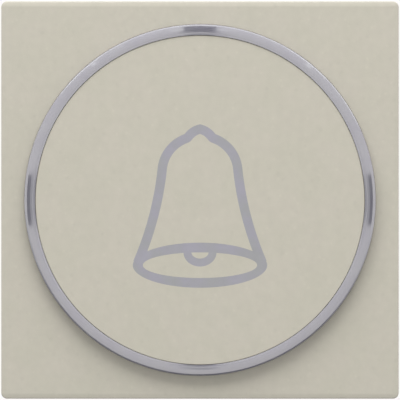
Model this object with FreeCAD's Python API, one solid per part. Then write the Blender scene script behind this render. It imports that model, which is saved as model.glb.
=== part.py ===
import FreeCAD, Part
import math
import os

# Flush doorbell push button, 45 mm format: a square plate, a clear lit ring and a large round push cap
# with a bell pictogram, over a carrier and a housing with a double-break contact and two wire clamps.
# It is modelled lying on its back: x to the right, y up the wall, z out of the wall.
# z = 0 is the back rim of the plate, which seats on the support frame. All lengths are in millimetres.

# Face plate
plate_side = 45.0
plate_height = 8.0
plate_wall = 1.6
plate_face = 2.0
plate_corner_radius = 0.65
plate_edge_radius = 0.6
aperture_clearance = 0.05

# Light ring
ring_margin = 2.65
ring_width = 1.2
ring_rise = 1.6
ring_outer_rounding = 0.7
flange_width = 0.7
flange_thickness = 1.2
leg_angles = (45.0, 135.0)
leg_width = 2.0
leg_depth = 1.4
leg_clearance = 0.15
leg_setback = 0.1

# Button cap
cap_clearance = 0.15
cap_setback = 0.2
cap_face = 1.8
cap_wall = 1.2
cap_skirt = 6.4
cap_rounding = 0.35
cap_rib_width = 1.0
cap_rib_height = 1.2
boss_height = 0.8
peg_radius = 1.4
peg_length = 4.3
press_travel = 2.0

# Latch hooks of the cap, which catch under the carrier's drum
hook_angles = (45.0, 135.0, 225.0, 315.0)
hook_thickness = 1.4
hook_width = 4.0
hook_nose = 0.8
hook_lip = 0.4
hook_ramp = 1.0
hook_clearance = 0.3

# Bell pictogram
symbol_depth = 0.5
symbol_stroke = 1.05
bell_top = 8.56
bell_crown_radius = 1.5
bell_neck_half = 1.75
bell_neck_height = 7.45
bell_shoulder_half = 4.75
bell_shoulder_height = 3.9
bell_shoulder_bulge = 0.63
bell_waist_half = 5.62
bell_waist_height = -1.2
bell_mouth_half = 7.54
bell_mouth_height = -6.9
lip_height = -7.37
lip_half = 7.6
lip_half_height = 2.55
lip_inner_half = 6.46
lip_inner_half_height = 1.45
clapper_half = 1.87
clapper_drop = 1.6
clapper_stroke = 0.9

# Carrier
base_thickness = 1.8
base_clearance = 0.3
rim_gap = 0.4
cap_side_gap = 0.3
rest_thickness = 1.2
rest_half_length = 5.0
drum_gap = 0.7
drum_wall = 1.2
drum_roof = 1.4
pad_thickness = 0.8
pad_width = 0.9
sleeve_wall = 1.0
sleeve_drop = 3.8
well_width = 2.6
well_wall = 1.0
well_floor = 1.2
carrier_rib = 1.0

# Snap joint of the plate on the carrier
snap_offset = 12.0
snap_width = 4.0
snap_depth = 0.7
snap_height = 1.4
snap_lift = 1.2
snap_land = 0.45
snap_clearance = 0.1
tongue_width = 6.0
tongue_thickness = 1.1
tongue_height = 4.0

# Latches for the support frame
frame_thickness = 2.0
frame_clearance = 0.1
latch_width = 8.0
latch_thickness = 1.2
latch_length = 7.4
latch_nose = 1.1
latch_land = 0.5
latch_ramp = 3.0

# Plunger and return spring
stem_side = 5.0
stem_chamfer = 0.4
stem_clearance = 0.05
peg_clearance = 0.02
window_floor = 1.2
window_side_clearance = 0.1
return_wire = 0.6
return_turns = 2.5

# Contacts
contact_gap = 1.2
bar_end_gap = 1.3
bar_width = 2.4
bar_thickness = 0.6
tip_radius = 1.1
tip_height = 0.5
tip_inset = 1.3
contact_wire = 0.3
contact_spring_length = 3.0
contact_spring_radius = 0.95
contact_turns = 3.0
busbar_thickness = 0.8
busbar_rise = 2.6
busbar_bend = 0.8
busbar_half_width = 7.6
busbar_tongue_half = 1.7
busbar_end_margin = 0.4
busbar_lower_edge = 2.0

# Wire clamps and their release pieces
leaf_thickness = 0.4
leaf_corner = 0.6
leaf_bend = 0.8
leaf_tip_gap = 0.1
leaf_tip_depth = 7.4
leaf_floor_gap = 0.24
leaf_slot_half = 2.9
release_travel = 1.5
release_shank_width = 2.0
release_shank_half = 2.2
release_clearance = 0.1
release_overhang = 0.8
release_bar_width = 1.6
release_nose_gap = 0.12
release_wall = 0.2

# Rear housing
housing_width_share = 0.415
housing_height_share = 0.39
housing_depth = 20.8
housing_corner = 1.5
housing_chamfer = 0.8
housing_wall = 1.2
chamber_clearance = 0.2
shaft_clearance = 0.4
shaft_floor_gap = 1.0
sleeve_clearance = 0.3
pocket_width = 7.475
terminal_clearance = 0.3
back_wall = 4.4
wire_bore_radius = 1.4
wire_bore_gap = 0.1
wire_bore_offset = 5.2
funnel_depth = 0.6
funnel_flare = 0.6
funnel_land = 0.1

# Screws
screw_margin = 1.85
screw_radius = 0.9
screw_hole_clearance = 0.25
screw_head_radius = 1.75
screw_head_height = 1.45
screw_length = 8.4
pilot_extra = 1.0
cross_width = 0.5
cross_length = 2.0
cross_depth = 0.7

# Locating light
board_thickness = 1.0
board_end_margin = 0.15
board_width = 3.6
board_clearance = 0.2
board_drop = 2.2
lamp_length = 2.0
lamp_width = 1.2
lamp_base = 0.5
lamp_lens = 0.6
lamp_gap = 0.3
resistor_length = 3.2
resistor_width = 1.6
resistor_height = 0.6
diode_radius = 0.75
diode_length = 3.4
post_radius = 0.8
post_lead_gap = 1.3
lead_width = 0.6
lead_thickness = 0.4
lead_bend = 0.6
lead_rise = 1.0
lead_inset = 0.6
lead_groove_clearance = 0.3

# Places that follow from the sizes above
ring_outer_radius = plate_side / 2 - ring_margin
ring_inner_radius = ring_outer_radius - ring_width
aperture_radius = ring_outer_radius + aperture_clearance
face_underside = plate_height - plate_face
flange_bottom = face_underside - flange_thickness
ring_top = plate_height + ring_rise
leg_inner_radius = ring_outer_radius + flange_width - leg_depth - leg_clearance - leg_setback
cap_radius = ring_inner_radius - cap_clearance
cap_top = ring_top - cap_setback
cap_underside = cap_top - cap_face
cap_rim = cap_top - cap_skirt
cap_inner_radius = cap_radius - cap_wall
boss_bottom = cap_underside - boss_height
base_top = cap_rim - press_travel - rim_gap
base_bottom = base_top - base_thickness
base_half = plate_side / 2 - plate_wall - base_clearance
rest_inner = cap_radius + cap_side_gap
drum_flat = (cap_inner_radius - drum_gap) * math.cos(math.pi / 8)
sleeve_radius = (stem_side / 2 + stem_clearance) * math.sqrt(2) + sleeve_wall
well_radius = sleeve_radius + well_width
well_outer_radius = well_radius + well_wall
hook_radius = (well_outer_radius + drum_flat - drum_wall - hook_thickness - hook_nose) / 2
drum_top = boss_bottom - press_travel - pad_thickness
drum_underside = drum_top - drum_roof
sleeve_bottom = base_bottom - sleeve_drop
well_bottom = base_bottom + well_floor
housing_half_width = plate_side * housing_width_share
housing_half_height = plate_side * housing_height_share
housing_back = base_bottom - housing_depth
pocket_floor = housing_back + back_wall
pocket_outer = housing_half_width - housing_wall
pocket_half = busbar_half_width + terminal_clearance
terminal_wall_x = pocket_outer - pocket_width
busbar_top = pocket_floor + busbar_rise + busbar_thickness
busbar_outer_face = terminal_wall_x + busbar_thickness
busbar_end = base_bottom - busbar_lower_edge
bar_half_length = terminal_wall_x - bar_end_gap
tip_offset = bar_half_length - tip_inset
busbar_inner_end = tip_offset - tip_radius - busbar_end_margin
bar_bottom = busbar_top + tip_height + contact_gap + tip_height
bar_top = bar_bottom + bar_thickness
window_top = bar_top + contact_spring_length
stem_bottom = bar_bottom - window_floor
wire_bore_x = busbar_outer_face + wire_bore_gap + wire_bore_radius
release_bar_x = wire_bore_x + wire_bore_radius + release_wall + release_clearance
screw_x = housing_half_width - screw_margin
screw_y = housing_half_height - screw_margin
board_top = base_bottom - board_drop
board_bottom = board_top - board_thickness
lamp_top = board_top + lamp_base + lamp_lens
leg_bottom = lamp_top + lamp_gap
leg_middle_radius = leg_inner_radius + leg_depth / 2
lamp_x = leg_middle_radius * math.cos(math.radians(leg_angles[0]))
board_middle = leg_middle_radius * math.sin(math.radians(leg_angles[0]))
board_low_edge = board_middle - board_width / 2
board_half_length = lamp_x + lamp_length / 2 + board_end_margin
lead_x = terminal_wall_x + busbar_thickness / 2
lead_y = busbar_half_width - lead_inset
lead_level = busbar_end + lead_rise
post_x = lead_x - lead_width / 2 - post_lead_gap - post_radius
part_offset = (post_x - post_radius) / 2


def vector(x, y, z):
    return FreeCAD.Vector(x, y, z)


def box(x0, x1, y0, y1, z0, z1):
    """Block between two corners."""
    return Part.makeBox(x1 - x0, y1 - y0, z1 - z0, vector(x0, y0, z0))


def cylinder(radius, z0, z1, x=0.0, y=0.0):
    """Upright cylinder between two levels."""
    return Part.makeCylinder(radius, z1 - z0, vector(x, y, z0))


def tube(inner, outer, z0, z1):
    """Upright tube between two levels."""
    return cylinder(outer, z0, z1).cut(cylinder(inner, z0, z1))


def turned(shape, degrees):
    """Copy of the shape, turned about the button's axis."""
    copy = shape.copy()
    copy.rotate(vector(0, 0, 0), vector(0, 0, 1), degrees)
    return copy


def mirrored(shape):
    """The same piece on the left-hand side."""
    return shape.mirror(vector(0, 0, 0), vector(1, 0, 0))


def four_corners(shape):
    """The shape in all four quadrants."""
    right = [shape, shape.mirror(vector(0, 0, 0), vector(0, 1, 0))]
    return right + [mirrored(one) for one in right]


def joined(shapes):
    """One solid from overlapping ones."""
    return shapes[0].multiFuse(shapes[1:]).removeSplitter()


def rounded_edges(corners, radii):
    """Edges through the corner points, with a tangent arc at each corner that has a radius."""
    edges = []
    start = corners[0]
    for before, corner, after, radius in zip(corners, corners[1:], corners[2:], radii):
        into = (corner - before).normalize()
        out = (after - corner).normalize()
        if radius > 0:
            half_turn = math.acos(max(-1.0, min(1.0, into.dot(out)))) / 2
            reach = radius * math.tan(half_turn)
            bisector = (out - into).normalize()
            first = corner - into * reach
            last = corner + out * reach
            middle = corner + bisector * (radius / math.cos(half_turn) - radius)
            edges.append(Part.LineSegment(start, first).toShape())
            edges.append(Part.Arc(first, middle, last).toShape())
            start = last
        else:
            edges.append(Part.LineSegment(start, corner).toShape())
            start = corner
    edges.append(Part.LineSegment(start, corners[-1]).toShape())
    return edges


def profile(points, radii=None):
    """Face in the x-z plane from a closed outline, with an optional radius for each corner."""
    corners = [vector(x, 0, z) for x, z in points]
    radii = list(radii or [0.0] * len(points))
    loop = [(corners[0] + corners[-1]) * 0.5] + corners + [(corners[0] + corners[-1]) * 0.5]
    return Part.Face(Part.Wire(rounded_edges(loop, radii)))


def octagon(flat_radius, z0, z1):
    """Upright eight-sided prism between two levels, from the distance of its flats to the axis."""
    corner_radius = flat_radius / math.cos(math.pi / 8)
    angles = [math.pi / 8 + math.pi / 4 * k for k in range(9)]
    rim = Part.makePolygon([vector(corner_radius * math.cos(a), corner_radius * math.sin(a), z0) for a in angles])
    return Part.Face(rim).extrude(vector(0, 0, z1 - z0))


def turned_body(points):
    """Solid of revolution about z from an outline of (radius, height) points."""
    return profile(points).revolve(vector(0, 0, 0), vector(0, 0, 1), 360)


def soft_corner(radius, top, rounding, steps):
    """Points of a rounded outer upper corner, as a few narrow bevels that lie on the arc."""
    angles = [math.pi / 2 * k / steps for k in range(steps + 1)]
    return [
        (radius - rounding + rounding * math.cos(a), top - rounding + rounding * math.sin(a)) for a in angles
    ]


def slab(points, half_width, radii=None):
    """Outline of (x, z) points, as thick as twice the half width along y."""
    face = profile(points, radii)
    face.translate(vector(0, -half_width, 0))
    return face.extrude(vector(0, 2 * half_width, 0))


def side_points(corners, distance):
    """The corner points of a path, moved sideways by a distance."""
    directions = [(b - a).normalize() for a, b in zip(corners, corners[1:])]
    normals = [vector(-d.z, 0, d.x) for d in directions]
    moved = [corners[0] + normals[0] * distance]
    for corner, one, two in zip(corners[1:-1], normals, normals[1:]):
        moved.append(corner + (one + two) * (distance / (1 + one.dot(two))))
    moved.append(corners[-1] + normals[-1] * distance)
    return moved


def bent_strip(points, bends, thickness, half_width):
    """Sheet metal strip along a bent path in the x-z plane; the bends are radii at mid thickness."""
    corners = [vector(x, 0, z) for x, z in points]
    directions = [(b - a).normalize() for a, b in zip(corners, corners[1:])]
    turns = [math.copysign(1, a.x * b.z - a.z * b.x) for a, b in zip(directions, directions[1:])]
    half = thickness / 2
    left = rounded_edges(side_points(corners, half), [r - t * half for r, t in zip(bends, turns)])
    right = rounded_edges(side_points(corners, -half), [r + t * half for r, t in zip(bends, turns)])
    start = Part.LineSegment(right[0].Vertexes[0].Point, left[0].Vertexes[0].Point).toShape()
    end = Part.LineSegment(left[-1].Vertexes[-1].Point, right[-1].Vertexes[-1].Point).toShape()
    outline = Part.Wire(Part.__sortEdges__(left + [end] + right + [start]))
    face = Part.Face(outline)
    face.translate(vector(0, -half_width, 0))
    return face.extrude(vector(0, 2 * half_width, 0))


def coil(mean_radius, wire, z0, z1, turns):
    """Coil spring between two levels; the wire is drawn four-sided to keep the helix light."""
    height = z1 - z0 - wire
    helix = Part.makeHelix(height / turns, height, mean_radius)
    helix.translate(vector(0, 0, z0 + wire / 2))
    reach = wire / 2
    angles = [math.radians(90 * k) for k in range(5)]
    section = Part.makePolygon(
        [vector(mean_radius + reach * math.cos(a), 0, z0 + wire / 2 + reach * math.sin(a)) for a in angles]
    )
    return Part.Wire(helix.Edges).makePipeShell([section], True, True)


def face_plate():
    """Square plate with skirt, round aperture and four snap noses inside the upper and lower walls."""
    half = plate_side / 2
    block = box(-half, half, -half, half, 0, plate_height)
    upright = [e for e in block.Edges if abs(e.Vertexes[0].Z - e.Vertexes[1].Z) > plate_height / 2]
    block = block.makeFillet(plate_corner_radius, upright)
    front = [e for e in block.Edges if all(abs(v.Z - plate_height) < 1e-6 for v in e.Vertexes)]
    block = block.makeFillet(plate_edge_radius, front)
    inner = half - plate_wall
    hollow = box(-inner, inner, -inner, inner, 0, face_underside)
    plate = block.cut(hollow).cut(cylinder(aperture_radius, 0, plate_height))
    nose_low = base_top + snap_lift
    nose_high = nose_low + snap_height
    nose = Part.Face(Part.makePolygon([
        vector(0, inner + plate_wall / 2, nose_low),
        vector(0, inner, nose_low),
        vector(0, inner - snap_depth, nose_high - snap_land),
        vector(0, inner - snap_depth, nose_high),
        vector(0, inner + plate_wall / 2, nose_high),
        vector(0, inner + plate_wall / 2, nose_low),
    ])).extrude(vector(snap_width, 0, 0))
    nose.translate(vector(snap_offset - snap_width / 2, 0, 0))
    return joined([plate] + four_corners(nose))


def light_ring():
    """Clear ring with a rounded top, a flange behind the plate and two legs down to the lamps."""
    flange_radius = ring_outer_radius + flange_width
    ring = turned_body(
        [
            (ring_inner_radius, flange_bottom),
            (flange_radius, flange_bottom),
            (flange_radius, face_underside),
            (ring_outer_radius, face_underside),
            *soft_corner(ring_outer_radius, ring_top, ring_outer_rounding, 2),
            (ring_inner_radius, ring_top),
        ]
    )
    leg = box(
        leg_inner_radius, leg_inner_radius + leg_depth,
        -leg_width / 2, leg_width / 2,
        leg_bottom, flange_bottom + flange_thickness / 2,
    )
    return joined([ring] + [turned(leg, angle) for angle in leg_angles])


def bell_outline():
    """Closed outline of the bell's dome in the x-y plane: crown, neck, shoulder, waist and flared mouth."""
    half = [
        vector(0, bell_top, 0),
        vector(bell_neck_half, bell_neck_height, 0),
        vector(bell_shoulder_half, bell_shoulder_height, 0),
        vector(bell_waist_half, bell_waist_height, 0),
        vector(bell_mouth_half, bell_mouth_height, 0),
    ]
    crown_drop = bell_crown_radius * (1 - math.cos(math.pi / 4))
    crown_middle = vector(bell_crown_radius * math.sin(math.pi / 4), bell_top - crown_drop, 0)
    shoulder_middle = (half[1] + half[2]) * 0.5 + vector(1, 1, 0).normalize() * bell_shoulder_bulge
    crown = Part.Arc(half[0], crown_middle, half[1]).toShape()
    shoulder = Part.Arc(half[1], shoulder_middle, half[2]).toShape()
    flank = Part.Arc(half[2], half[3], half[4]).toShape()
    right = [crown, shoulder, flank]
    left = [edge.mirror(vector(0, 0, 0), vector(1, 0, 0)) for edge in right]
    mouth = Part.LineSegment(half[4], vector(-bell_mouth_half, bell_mouth_height, 0)).toShape()
    return Part.Wire(Part.__sortEdges__(right + left + [mouth]))


def oval(half_width, half_height, y):
    """Upright prism on an oval, as deep as the pictogram."""
    curve = Part.Ellipse(vector(0, y, 0), half_width, half_height)
    return Part.Face(Part.Wire(curve.toShape())).extrude(vector(0, 0, symbol_depth))


def bell_symbol():
    """Bell pictogram as one flat inlay: dome line, mouth ring and clapper, flush with the cap's face."""
    outline = bell_outline()
    depth = vector(0, 0, symbol_depth)
    dome = Part.Face(outline).extrude(depth)
    inside = Part.Face(outline.makeOffset2D(-symbol_stroke)).extrude(depth)
    lip = oval(lip_half, lip_half_height, lip_height)
    mouth = oval(lip_inner_half, lip_inner_half_height, lip_height)
    clapper_top = lip_height + lip_inner_half_height
    clapper = oval(clapper_half, clapper_drop, clapper_top)
    clapper_hole = oval(clapper_half - clapper_stroke, clapper_drop - clapper_stroke, clapper_top)
    below = box(-lip_half, lip_half, clapper_top - 2 * clapper_drop, clapper_top, 0, symbol_depth)
    clapper = clapper.cut(clapper_hole).common(below)
    bell = joined([dome.cut(inside), lip]).cut(mouth)
    bell = joined([bell, clapper])
    bell.translate(vector(0, 0, cap_top - symbol_depth))
    return bell


def button_cap():
    """Round push cap: face, skirt, ribs, stop boss with the plunger's peg, and four latch hooks."""
    shell = turned_body(
        [
            (0, cap_underside),
            (cap_inner_radius, cap_underside),
            (cap_inner_radius, cap_rim),
            (cap_radius, cap_rim),
            *soft_corner(cap_radius, cap_top, cap_rounding, 1),
            (0, cap_top),
        ]
    )
    boss = cylinder(sleeve_radius, boss_bottom, cap_top - cap_face / 2)
    peg = cylinder(peg_radius, boss_bottom - peg_length, cap_top - cap_face / 2)
    rib = box(
        well_radius + hook_clearance, cap_inner_radius + cap_wall / 2,
        -cap_rib_width / 2, cap_rib_width / 2,
        cap_underside - cap_rib_height, cap_top - cap_face / 2,
    )
    ribs = [turned(rib, angle) for angle in (0, 90, 180, 270)]
    outer = hook_radius + hook_thickness
    hook = slab(
        [
            (hook_radius, cap_top - cap_face / 2),
            (outer, cap_top - cap_face / 2),
            (outer, drum_underside),
            (outer + hook_nose, drum_underside),
            (outer + hook_nose, drum_underside - hook_lip),
            (outer, drum_underside - hook_lip - hook_ramp),
            (hook_radius, drum_underside - hook_lip - hook_ramp),
        ],
        hook_width / 2,
    )
    hooks = [turned(hook, angle) for angle in hook_angles]
    return joined([shell, boss, peg] + ribs + hooks).cut(bell_symbol())


def latch():
    """Spring tongue with a nose that grips behind the support frame."""
    grip = -frame_thickness - frame_clearance
    tip = base_bottom - latch_length
    return slab(
        [
            (base_half - latch_thickness, base_top),
            (base_half, base_top),
            (base_half, grip),
            (base_half + latch_nose, grip),
            (base_half + latch_nose, grip - latch_land),
            (base_half, grip - latch_land - latch_ramp),
            (base_half, tip),
            (base_half - latch_thickness, tip),
        ],
        latch_width / 2,
    )


def snap_tongue():
    """Upright tongue with a window for one of the plate's snap noses."""
    high = base_top + tongue_height
    blade = box(
        snap_offset - tongue_width / 2, snap_offset + tongue_width / 2,
        base_half - tongue_thickness, base_half, base_bottom, high,
    )
    reach = snap_width / 2 + snap_clearance
    low = base_top + snap_lift - snap_clearance
    window = box(
        snap_offset - reach, snap_offset + reach,
        base_half - tongue_thickness, base_half,
        low, low + snap_height + 2 * snap_clearance,
    )
    return blade.cut(window)


def carrier():
    """Moulded frame behind the plate: base, rests for the ring, drum, guide sleeve, well, latches and posts."""
    base = box(-base_half, base_half, -base_half, base_half, base_bottom, base_top)
    rest = box(
        rest_inner, rest_inner + rest_thickness, -rest_half_length, rest_half_length,
        base_bottom, flange_bottom,
    )
    rests = [turned(rest, angle) for angle in (0, 90, 180, 270)]
    drum = octagon(drum_flat, base_bottom, drum_top)
    hollow = octagon(drum_flat - drum_wall, base_bottom, drum_underside)
    hollow = hollow.cut(cylinder(well_outer_radius, base_bottom, drum_underside))
    well = tube(sleeve_radius, well_radius, well_bottom, drum_top)
    sleeve = cylinder(sleeve_radius, sleeve_bottom, drum_top)
    rib = box(
        well_radius + well_wall / 2, drum_flat - drum_wall / 2,
        -carrier_rib / 2, carrier_rib / 2, base_bottom, drum_underside + drum_roof / 2,
    )
    ribs = [turned(rib, angle) for angle in (0, 90, 180, 270)]
    guide_half = stem_side / 2 + stem_clearance
    guide = box(-guide_half, guide_half, -guide_half, guide_half, sleeve_bottom, drum_top)
    slot_half = hook_width / 2 + hook_clearance
    slot = box(
        hook_radius - hook_clearance, hook_radius + hook_thickness + hook_nose + hook_clearance,
        -slot_half, slot_half, drum_underside, drum_top,
    )
    leg_half = leg_width / 2 + leg_clearance
    passage = box(
        leg_inner_radius - leg_clearance, leg_inner_radius + leg_depth + leg_clearance,
        -leg_half, leg_half, base_bottom, flange_bottom,
    )
    post = cylinder(post_radius, board_top, base_top, post_x, board_middle)
    screw_hole = cylinder(screw_radius + screw_hole_clearance, base_bottom, base_top, screw_x, screw_y)
    frame = joined([base, drum]).cut(hollow).cut(well)
    frame = joined(
        [frame, sleeve] + ribs + rests + four_corners(snap_tongue())
        + [latch(), mirrored(latch()), post, mirrored(post)]
    )
    openings = [guide] + four_corners(screw_hole)
    openings += [turned(slot, angle) for angle in hook_angles]
    openings += [turned(passage, angle) for angle in leg_angles]
    return frame.cut(openings).removeSplitter()


def stop_pad():
    """Soft washer on the guide sleeve that takes the button's boss at full travel."""
    return tube(sleeve_radius - pad_width, sleeve_radius, drum_top, drum_top + pad_thickness)


def plunger():
    """Square stem under the cap, with a socket for the cap's peg and a window for the contact bridge."""
    half = stem_side / 2
    stem = box(-half, half, -half, half, stem_bottom, boss_bottom)
    upright = [e for e in stem.Edges if abs(e.Vertexes[0].Z - e.Vertexes[1].Z) > stem_side]
    stem = stem.makeChamfer(stem_chamfer, upright)
    socket = cylinder(peg_radius + peg_clearance, boss_bottom - peg_length, boss_bottom)
    window_half = bar_width / 2 + window_side_clearance
    window = box(-half, half, -window_half, window_half, bar_bottom, window_top)
    return stem.cut(socket).cut(window)


def return_spring():
    """Coil spring from the well's floor to the underside of the cap."""
    return coil((sleeve_radius + well_radius) / 2, return_wire, well_bottom, cap_underside, return_turns)


def contact_spring():
    """Small coil spring between the window's roof and the contact bar."""
    return coil(contact_spring_radius, contact_wire, bar_top, window_top, contact_turns)


def rivet(x, z0, z1):
    """Contact rivet head between two levels."""
    return cylinder(tip_radius, z0, z1, x)


def bridge_bar():
    """Moving contact bar with rounded ends."""
    half = bar_half_length - bar_width / 2
    middle = box(-half, half, -bar_width / 2, bar_width / 2, bar_bottom, bar_top)
    ends = [cylinder(bar_width / 2, bar_bottom, bar_top, side * half) for side in (-1, 1)]
    return joined([middle] + ends)


def bridge_tips():
    """Two rivets under the ends of the contact bar."""
    return Part.makeCompound([rivet(side * tip_offset, bar_bottom - tip_height, bar_bottom) for side in (-1, 1)])


def fixed_tips():
    """Two rivets on the busbars, opposite the moving ones."""
    return Part.makeCompound([rivet(side * tip_offset, busbar_top, busbar_top + tip_height) for side in (-1, 1)])


def busbar():
    """Right-hand busbar: contact tongue under the bridge, bent up into the plate that the wires press on."""
    middle = busbar_top - busbar_thickness / 2
    strip = bent_strip(
        [(busbar_inner_end, middle), (lead_x, middle), (lead_x, busbar_end)],
        [busbar_bend], busbar_thickness, busbar_half_width,
    )
    low = middle - busbar_thickness
    sides = [
        box(busbar_inner_end, terminal_wall_x, busbar_tongue_half, busbar_half_width, low, busbar_end),
        box(busbar_inner_end, terminal_wall_x, -busbar_half_width, -busbar_tongue_half, low, busbar_end),
    ]
    return strip.cut(sides)


def leaf_line():
    """Corner points of the right-hand clamp leaf, at mid thickness."""
    half = leaf_thickness / 2
    leg_x = pocket_outer - half
    tip_x = busbar_outer_face + leaf_tip_gap + half
    tip_level = base_bottom - leaf_tip_depth
    across = leg_x - leaf_bend - tip_x
    down = tip_level - (pocket_floor + leaf_floor_gap + half + leaf_bend)
    lean = math.atan2(across, down) - math.asin(leaf_bend / math.hypot(across, down))
    return [
        (busbar_outer_face, busbar_end - half),
        (leg_x, busbar_end - half),
        (leg_x, tip_level - (leg_x - tip_x) / math.tan(lean)),
        (tip_x, tip_level),
    ]


def clamp():
    """Right-hand clamp: a leaf that hooks on the busbar, runs down the outer wall and ends in two tongues."""
    leaf = bent_strip(leaf_line(), [leaf_corner, leaf_bend], leaf_thickness, busbar_half_width)
    slot = box(
        busbar_outer_face, release_bar_x + release_bar_width,
        -leaf_slot_half, leaf_slot_half,
        pocket_floor, base_bottom - leaf_tip_depth + leaf_thickness,
    )
    return leaf.cut(slot)


def release():
    """Right-hand release piece: a shank through the back wall and a sloped bar under both tongues."""
    corner, tip = leaf_line()[2:]
    slope = (tip[1] - corner[1]) / (tip[0] - corner[0])
    length = math.hypot(tip[0] - corner[0], tip[1] - corner[1])
    sink = (leaf_thickness / 2 + release_nose_gap) * length / abs(tip[0] - corner[0])

    def under_leaf(x):
        return corner[1] + slope * (x - corner[0]) - sink

    outer = release_bar_x + release_bar_width
    bar = slab(
        [
            (release_bar_x, pocket_floor),
            (outer, pocket_floor),
            (outer, under_leaf(outer)),
            (release_bar_x + release_bar_width / 4, under_leaf(release_bar_x + release_bar_width / 4)),
            (release_bar_x, under_leaf(release_bar_x + release_bar_width / 4)),
        ],
        busbar_half_width,
    )
    shank = box(
        release_bar_x, release_bar_x + release_shank_width,
        -release_shank_half, release_shank_half,
        housing_back - release_overhang, pocket_floor,
    )
    return joined([bar, shank])


def entry_funnel(y):
    """Square funnel that leads a wire into its bore from behind."""
    mouth = (wire_bore_radius + funnel_flare, housing_back)
    throat = (wire_bore_radius + funnel_land, housing_back + funnel_depth)
    squares = []
    for half, level in (mouth, throat):
        corners = [(-half, -half), (half, -half), (half, half), (-half, half), (-half, -half)]
        squares.append(Part.makePolygon([vector(wire_bore_x + dx, y + dy, level) for dx, dy in corners]))
    return Part.makeLoft(squares, True, True)


def rear_housing():
    """Moulded housing: contact chamber, two terminal pockets, board pocket, screw pillars and wire entries."""
    block = box(
        -housing_half_width, housing_half_width, -housing_half_height, housing_half_height,
        housing_back, base_bottom,
    )
    upright = [e for e in block.Edges if abs(e.Vertexes[0].Z - e.Vertexes[1].Z) > housing_depth / 2]
    block = block.makeFillet(housing_corner, upright)
    rear = [e for e in block.Edges if all(abs(v.Z - housing_back) < 1e-6 for v in e.Vertexes)]
    block = block.makeChamfer(housing_chamfer, rear)
    slot_half = busbar_tongue_half + chamber_clearance
    shaft_half = stem_side / 2 + shaft_clearance
    shaft_floor = stem_bottom - press_travel - shaft_floor_gap
    middle = [
        cylinder(sleeve_radius + sleeve_clearance, sleeve_bottom - sleeve_clearance, base_bottom),
        box(-shaft_half, shaft_half, -shaft_half, shaft_half, shaft_floor, base_bottom),
        box(
            -terminal_wall_x, terminal_wall_x, -slot_half, slot_half,
            busbar_top - busbar_thickness, base_bottom,
        ),
        box(
            -board_half_length - board_clearance, board_half_length + board_clearance,
            board_low_edge - board_clearance, board_low_edge + board_width + board_clearance,
            board_bottom, base_bottom,
        ),
    ]
    groove_half = lead_width / 2 + lead_groove_clearance
    bore_end = housing_back + funnel_depth
    right = [
        box(terminal_wall_x, pocket_outer, -pocket_half, pocket_half, pocket_floor, base_bottom),
        box(
            release_bar_x - release_clearance, release_bar_x + release_shank_width + release_clearance,
            -release_shank_half - release_clearance, release_shank_half + release_clearance,
            housing_back, pocket_floor,
        ),
        box(
            lead_x - groove_half, lead_x + groove_half, lead_y, board_middle,
            lead_level - groove_half, base_bottom,
        ),
    ]
    for side in (-1, 1):
        y = side * wire_bore_offset
        right.append(cylinder(wire_bore_radius, bore_end, pocket_floor, wire_bore_x, y))
        right.append(entry_funnel(y))
    pilot_floor = base_top - screw_length - pilot_extra
    pilot = cylinder(screw_radius, pilot_floor, base_bottom, screw_x, screw_y)
    cuts = middle + right + [mirrored(one) for one in right] + four_corners(pilot)
    return block.cut(cuts).removeSplitter()


def housing_screw():
    """Self-tapping screw with a cylindrical head and a cross recess, in the upper right corner."""
    head_top = base_top + screw_head_height
    head = cylinder(screw_head_radius, base_top, head_top)
    shank = cylinder(screw_radius, base_top - screw_length, base_top)
    arm = box(
        -cross_length / 2, cross_length / 2, -cross_width / 2, cross_width / 2,
        head_top - cross_depth, head_top,
    )
    screw = joined([head, shank]).cut([arm, turned(arm, 90)])
    screw.translate(vector(screw_x, screw_y, 0))
    return screw


def led_board():
    """Narrow circuit board that lies on the floor of its pocket."""
    return box(
        -board_half_length, board_half_length, board_low_edge, board_low_edge + board_width,
        board_bottom, board_top,
    )


def lamp():
    """Right-hand light-emitting diode: a chip with a small lens under the ring's leg."""
    base = box(
        lamp_x - lamp_length / 2, lamp_x + lamp_length / 2,
        board_middle - lamp_width / 2, board_middle + lamp_width / 2,
        board_top, board_top + lamp_base,
    )
    lens = cylinder(lamp_width / 2, board_top + lamp_base, lamp_top, lamp_x, board_middle)
    return joined([base, lens])


def resistor():
    """Chip resistor on the board."""
    return box(
        -part_offset - resistor_length / 2, -part_offset + resistor_length / 2,
        board_middle - resistor_width / 2, board_middle + resistor_width / 2,
        board_top, board_top + resistor_height,
    )


def diode():
    """Small cylindrical diode on the board."""
    start = vector(part_offset - diode_length / 2, board_middle, board_top + diode_radius)
    return Part.makeCylinder(diode_radius, diode_length, start, vector(1, 0, 0))


def board_lead():
    """Right-hand lead from the board over the wall to the busbar's edge."""
    strip = bent_strip(
        [(lead_y, busbar_end), (lead_y, lead_level), (board_middle, lead_level), (board_middle, board_top)],
        [lead_bend, lead_bend], lead_thickness, lead_width / 2,
    )
    strip.rotate(vector(0, 0, 0), vector(0, 0, 1), 90)
    strip.translate(vector(lead_x, 0, 0))
    return strip


def pair(shape):
    """The right-hand piece and its mirror image as two separate solids."""
    return Part.makeCompound([shape, mirrored(shape)])


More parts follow.
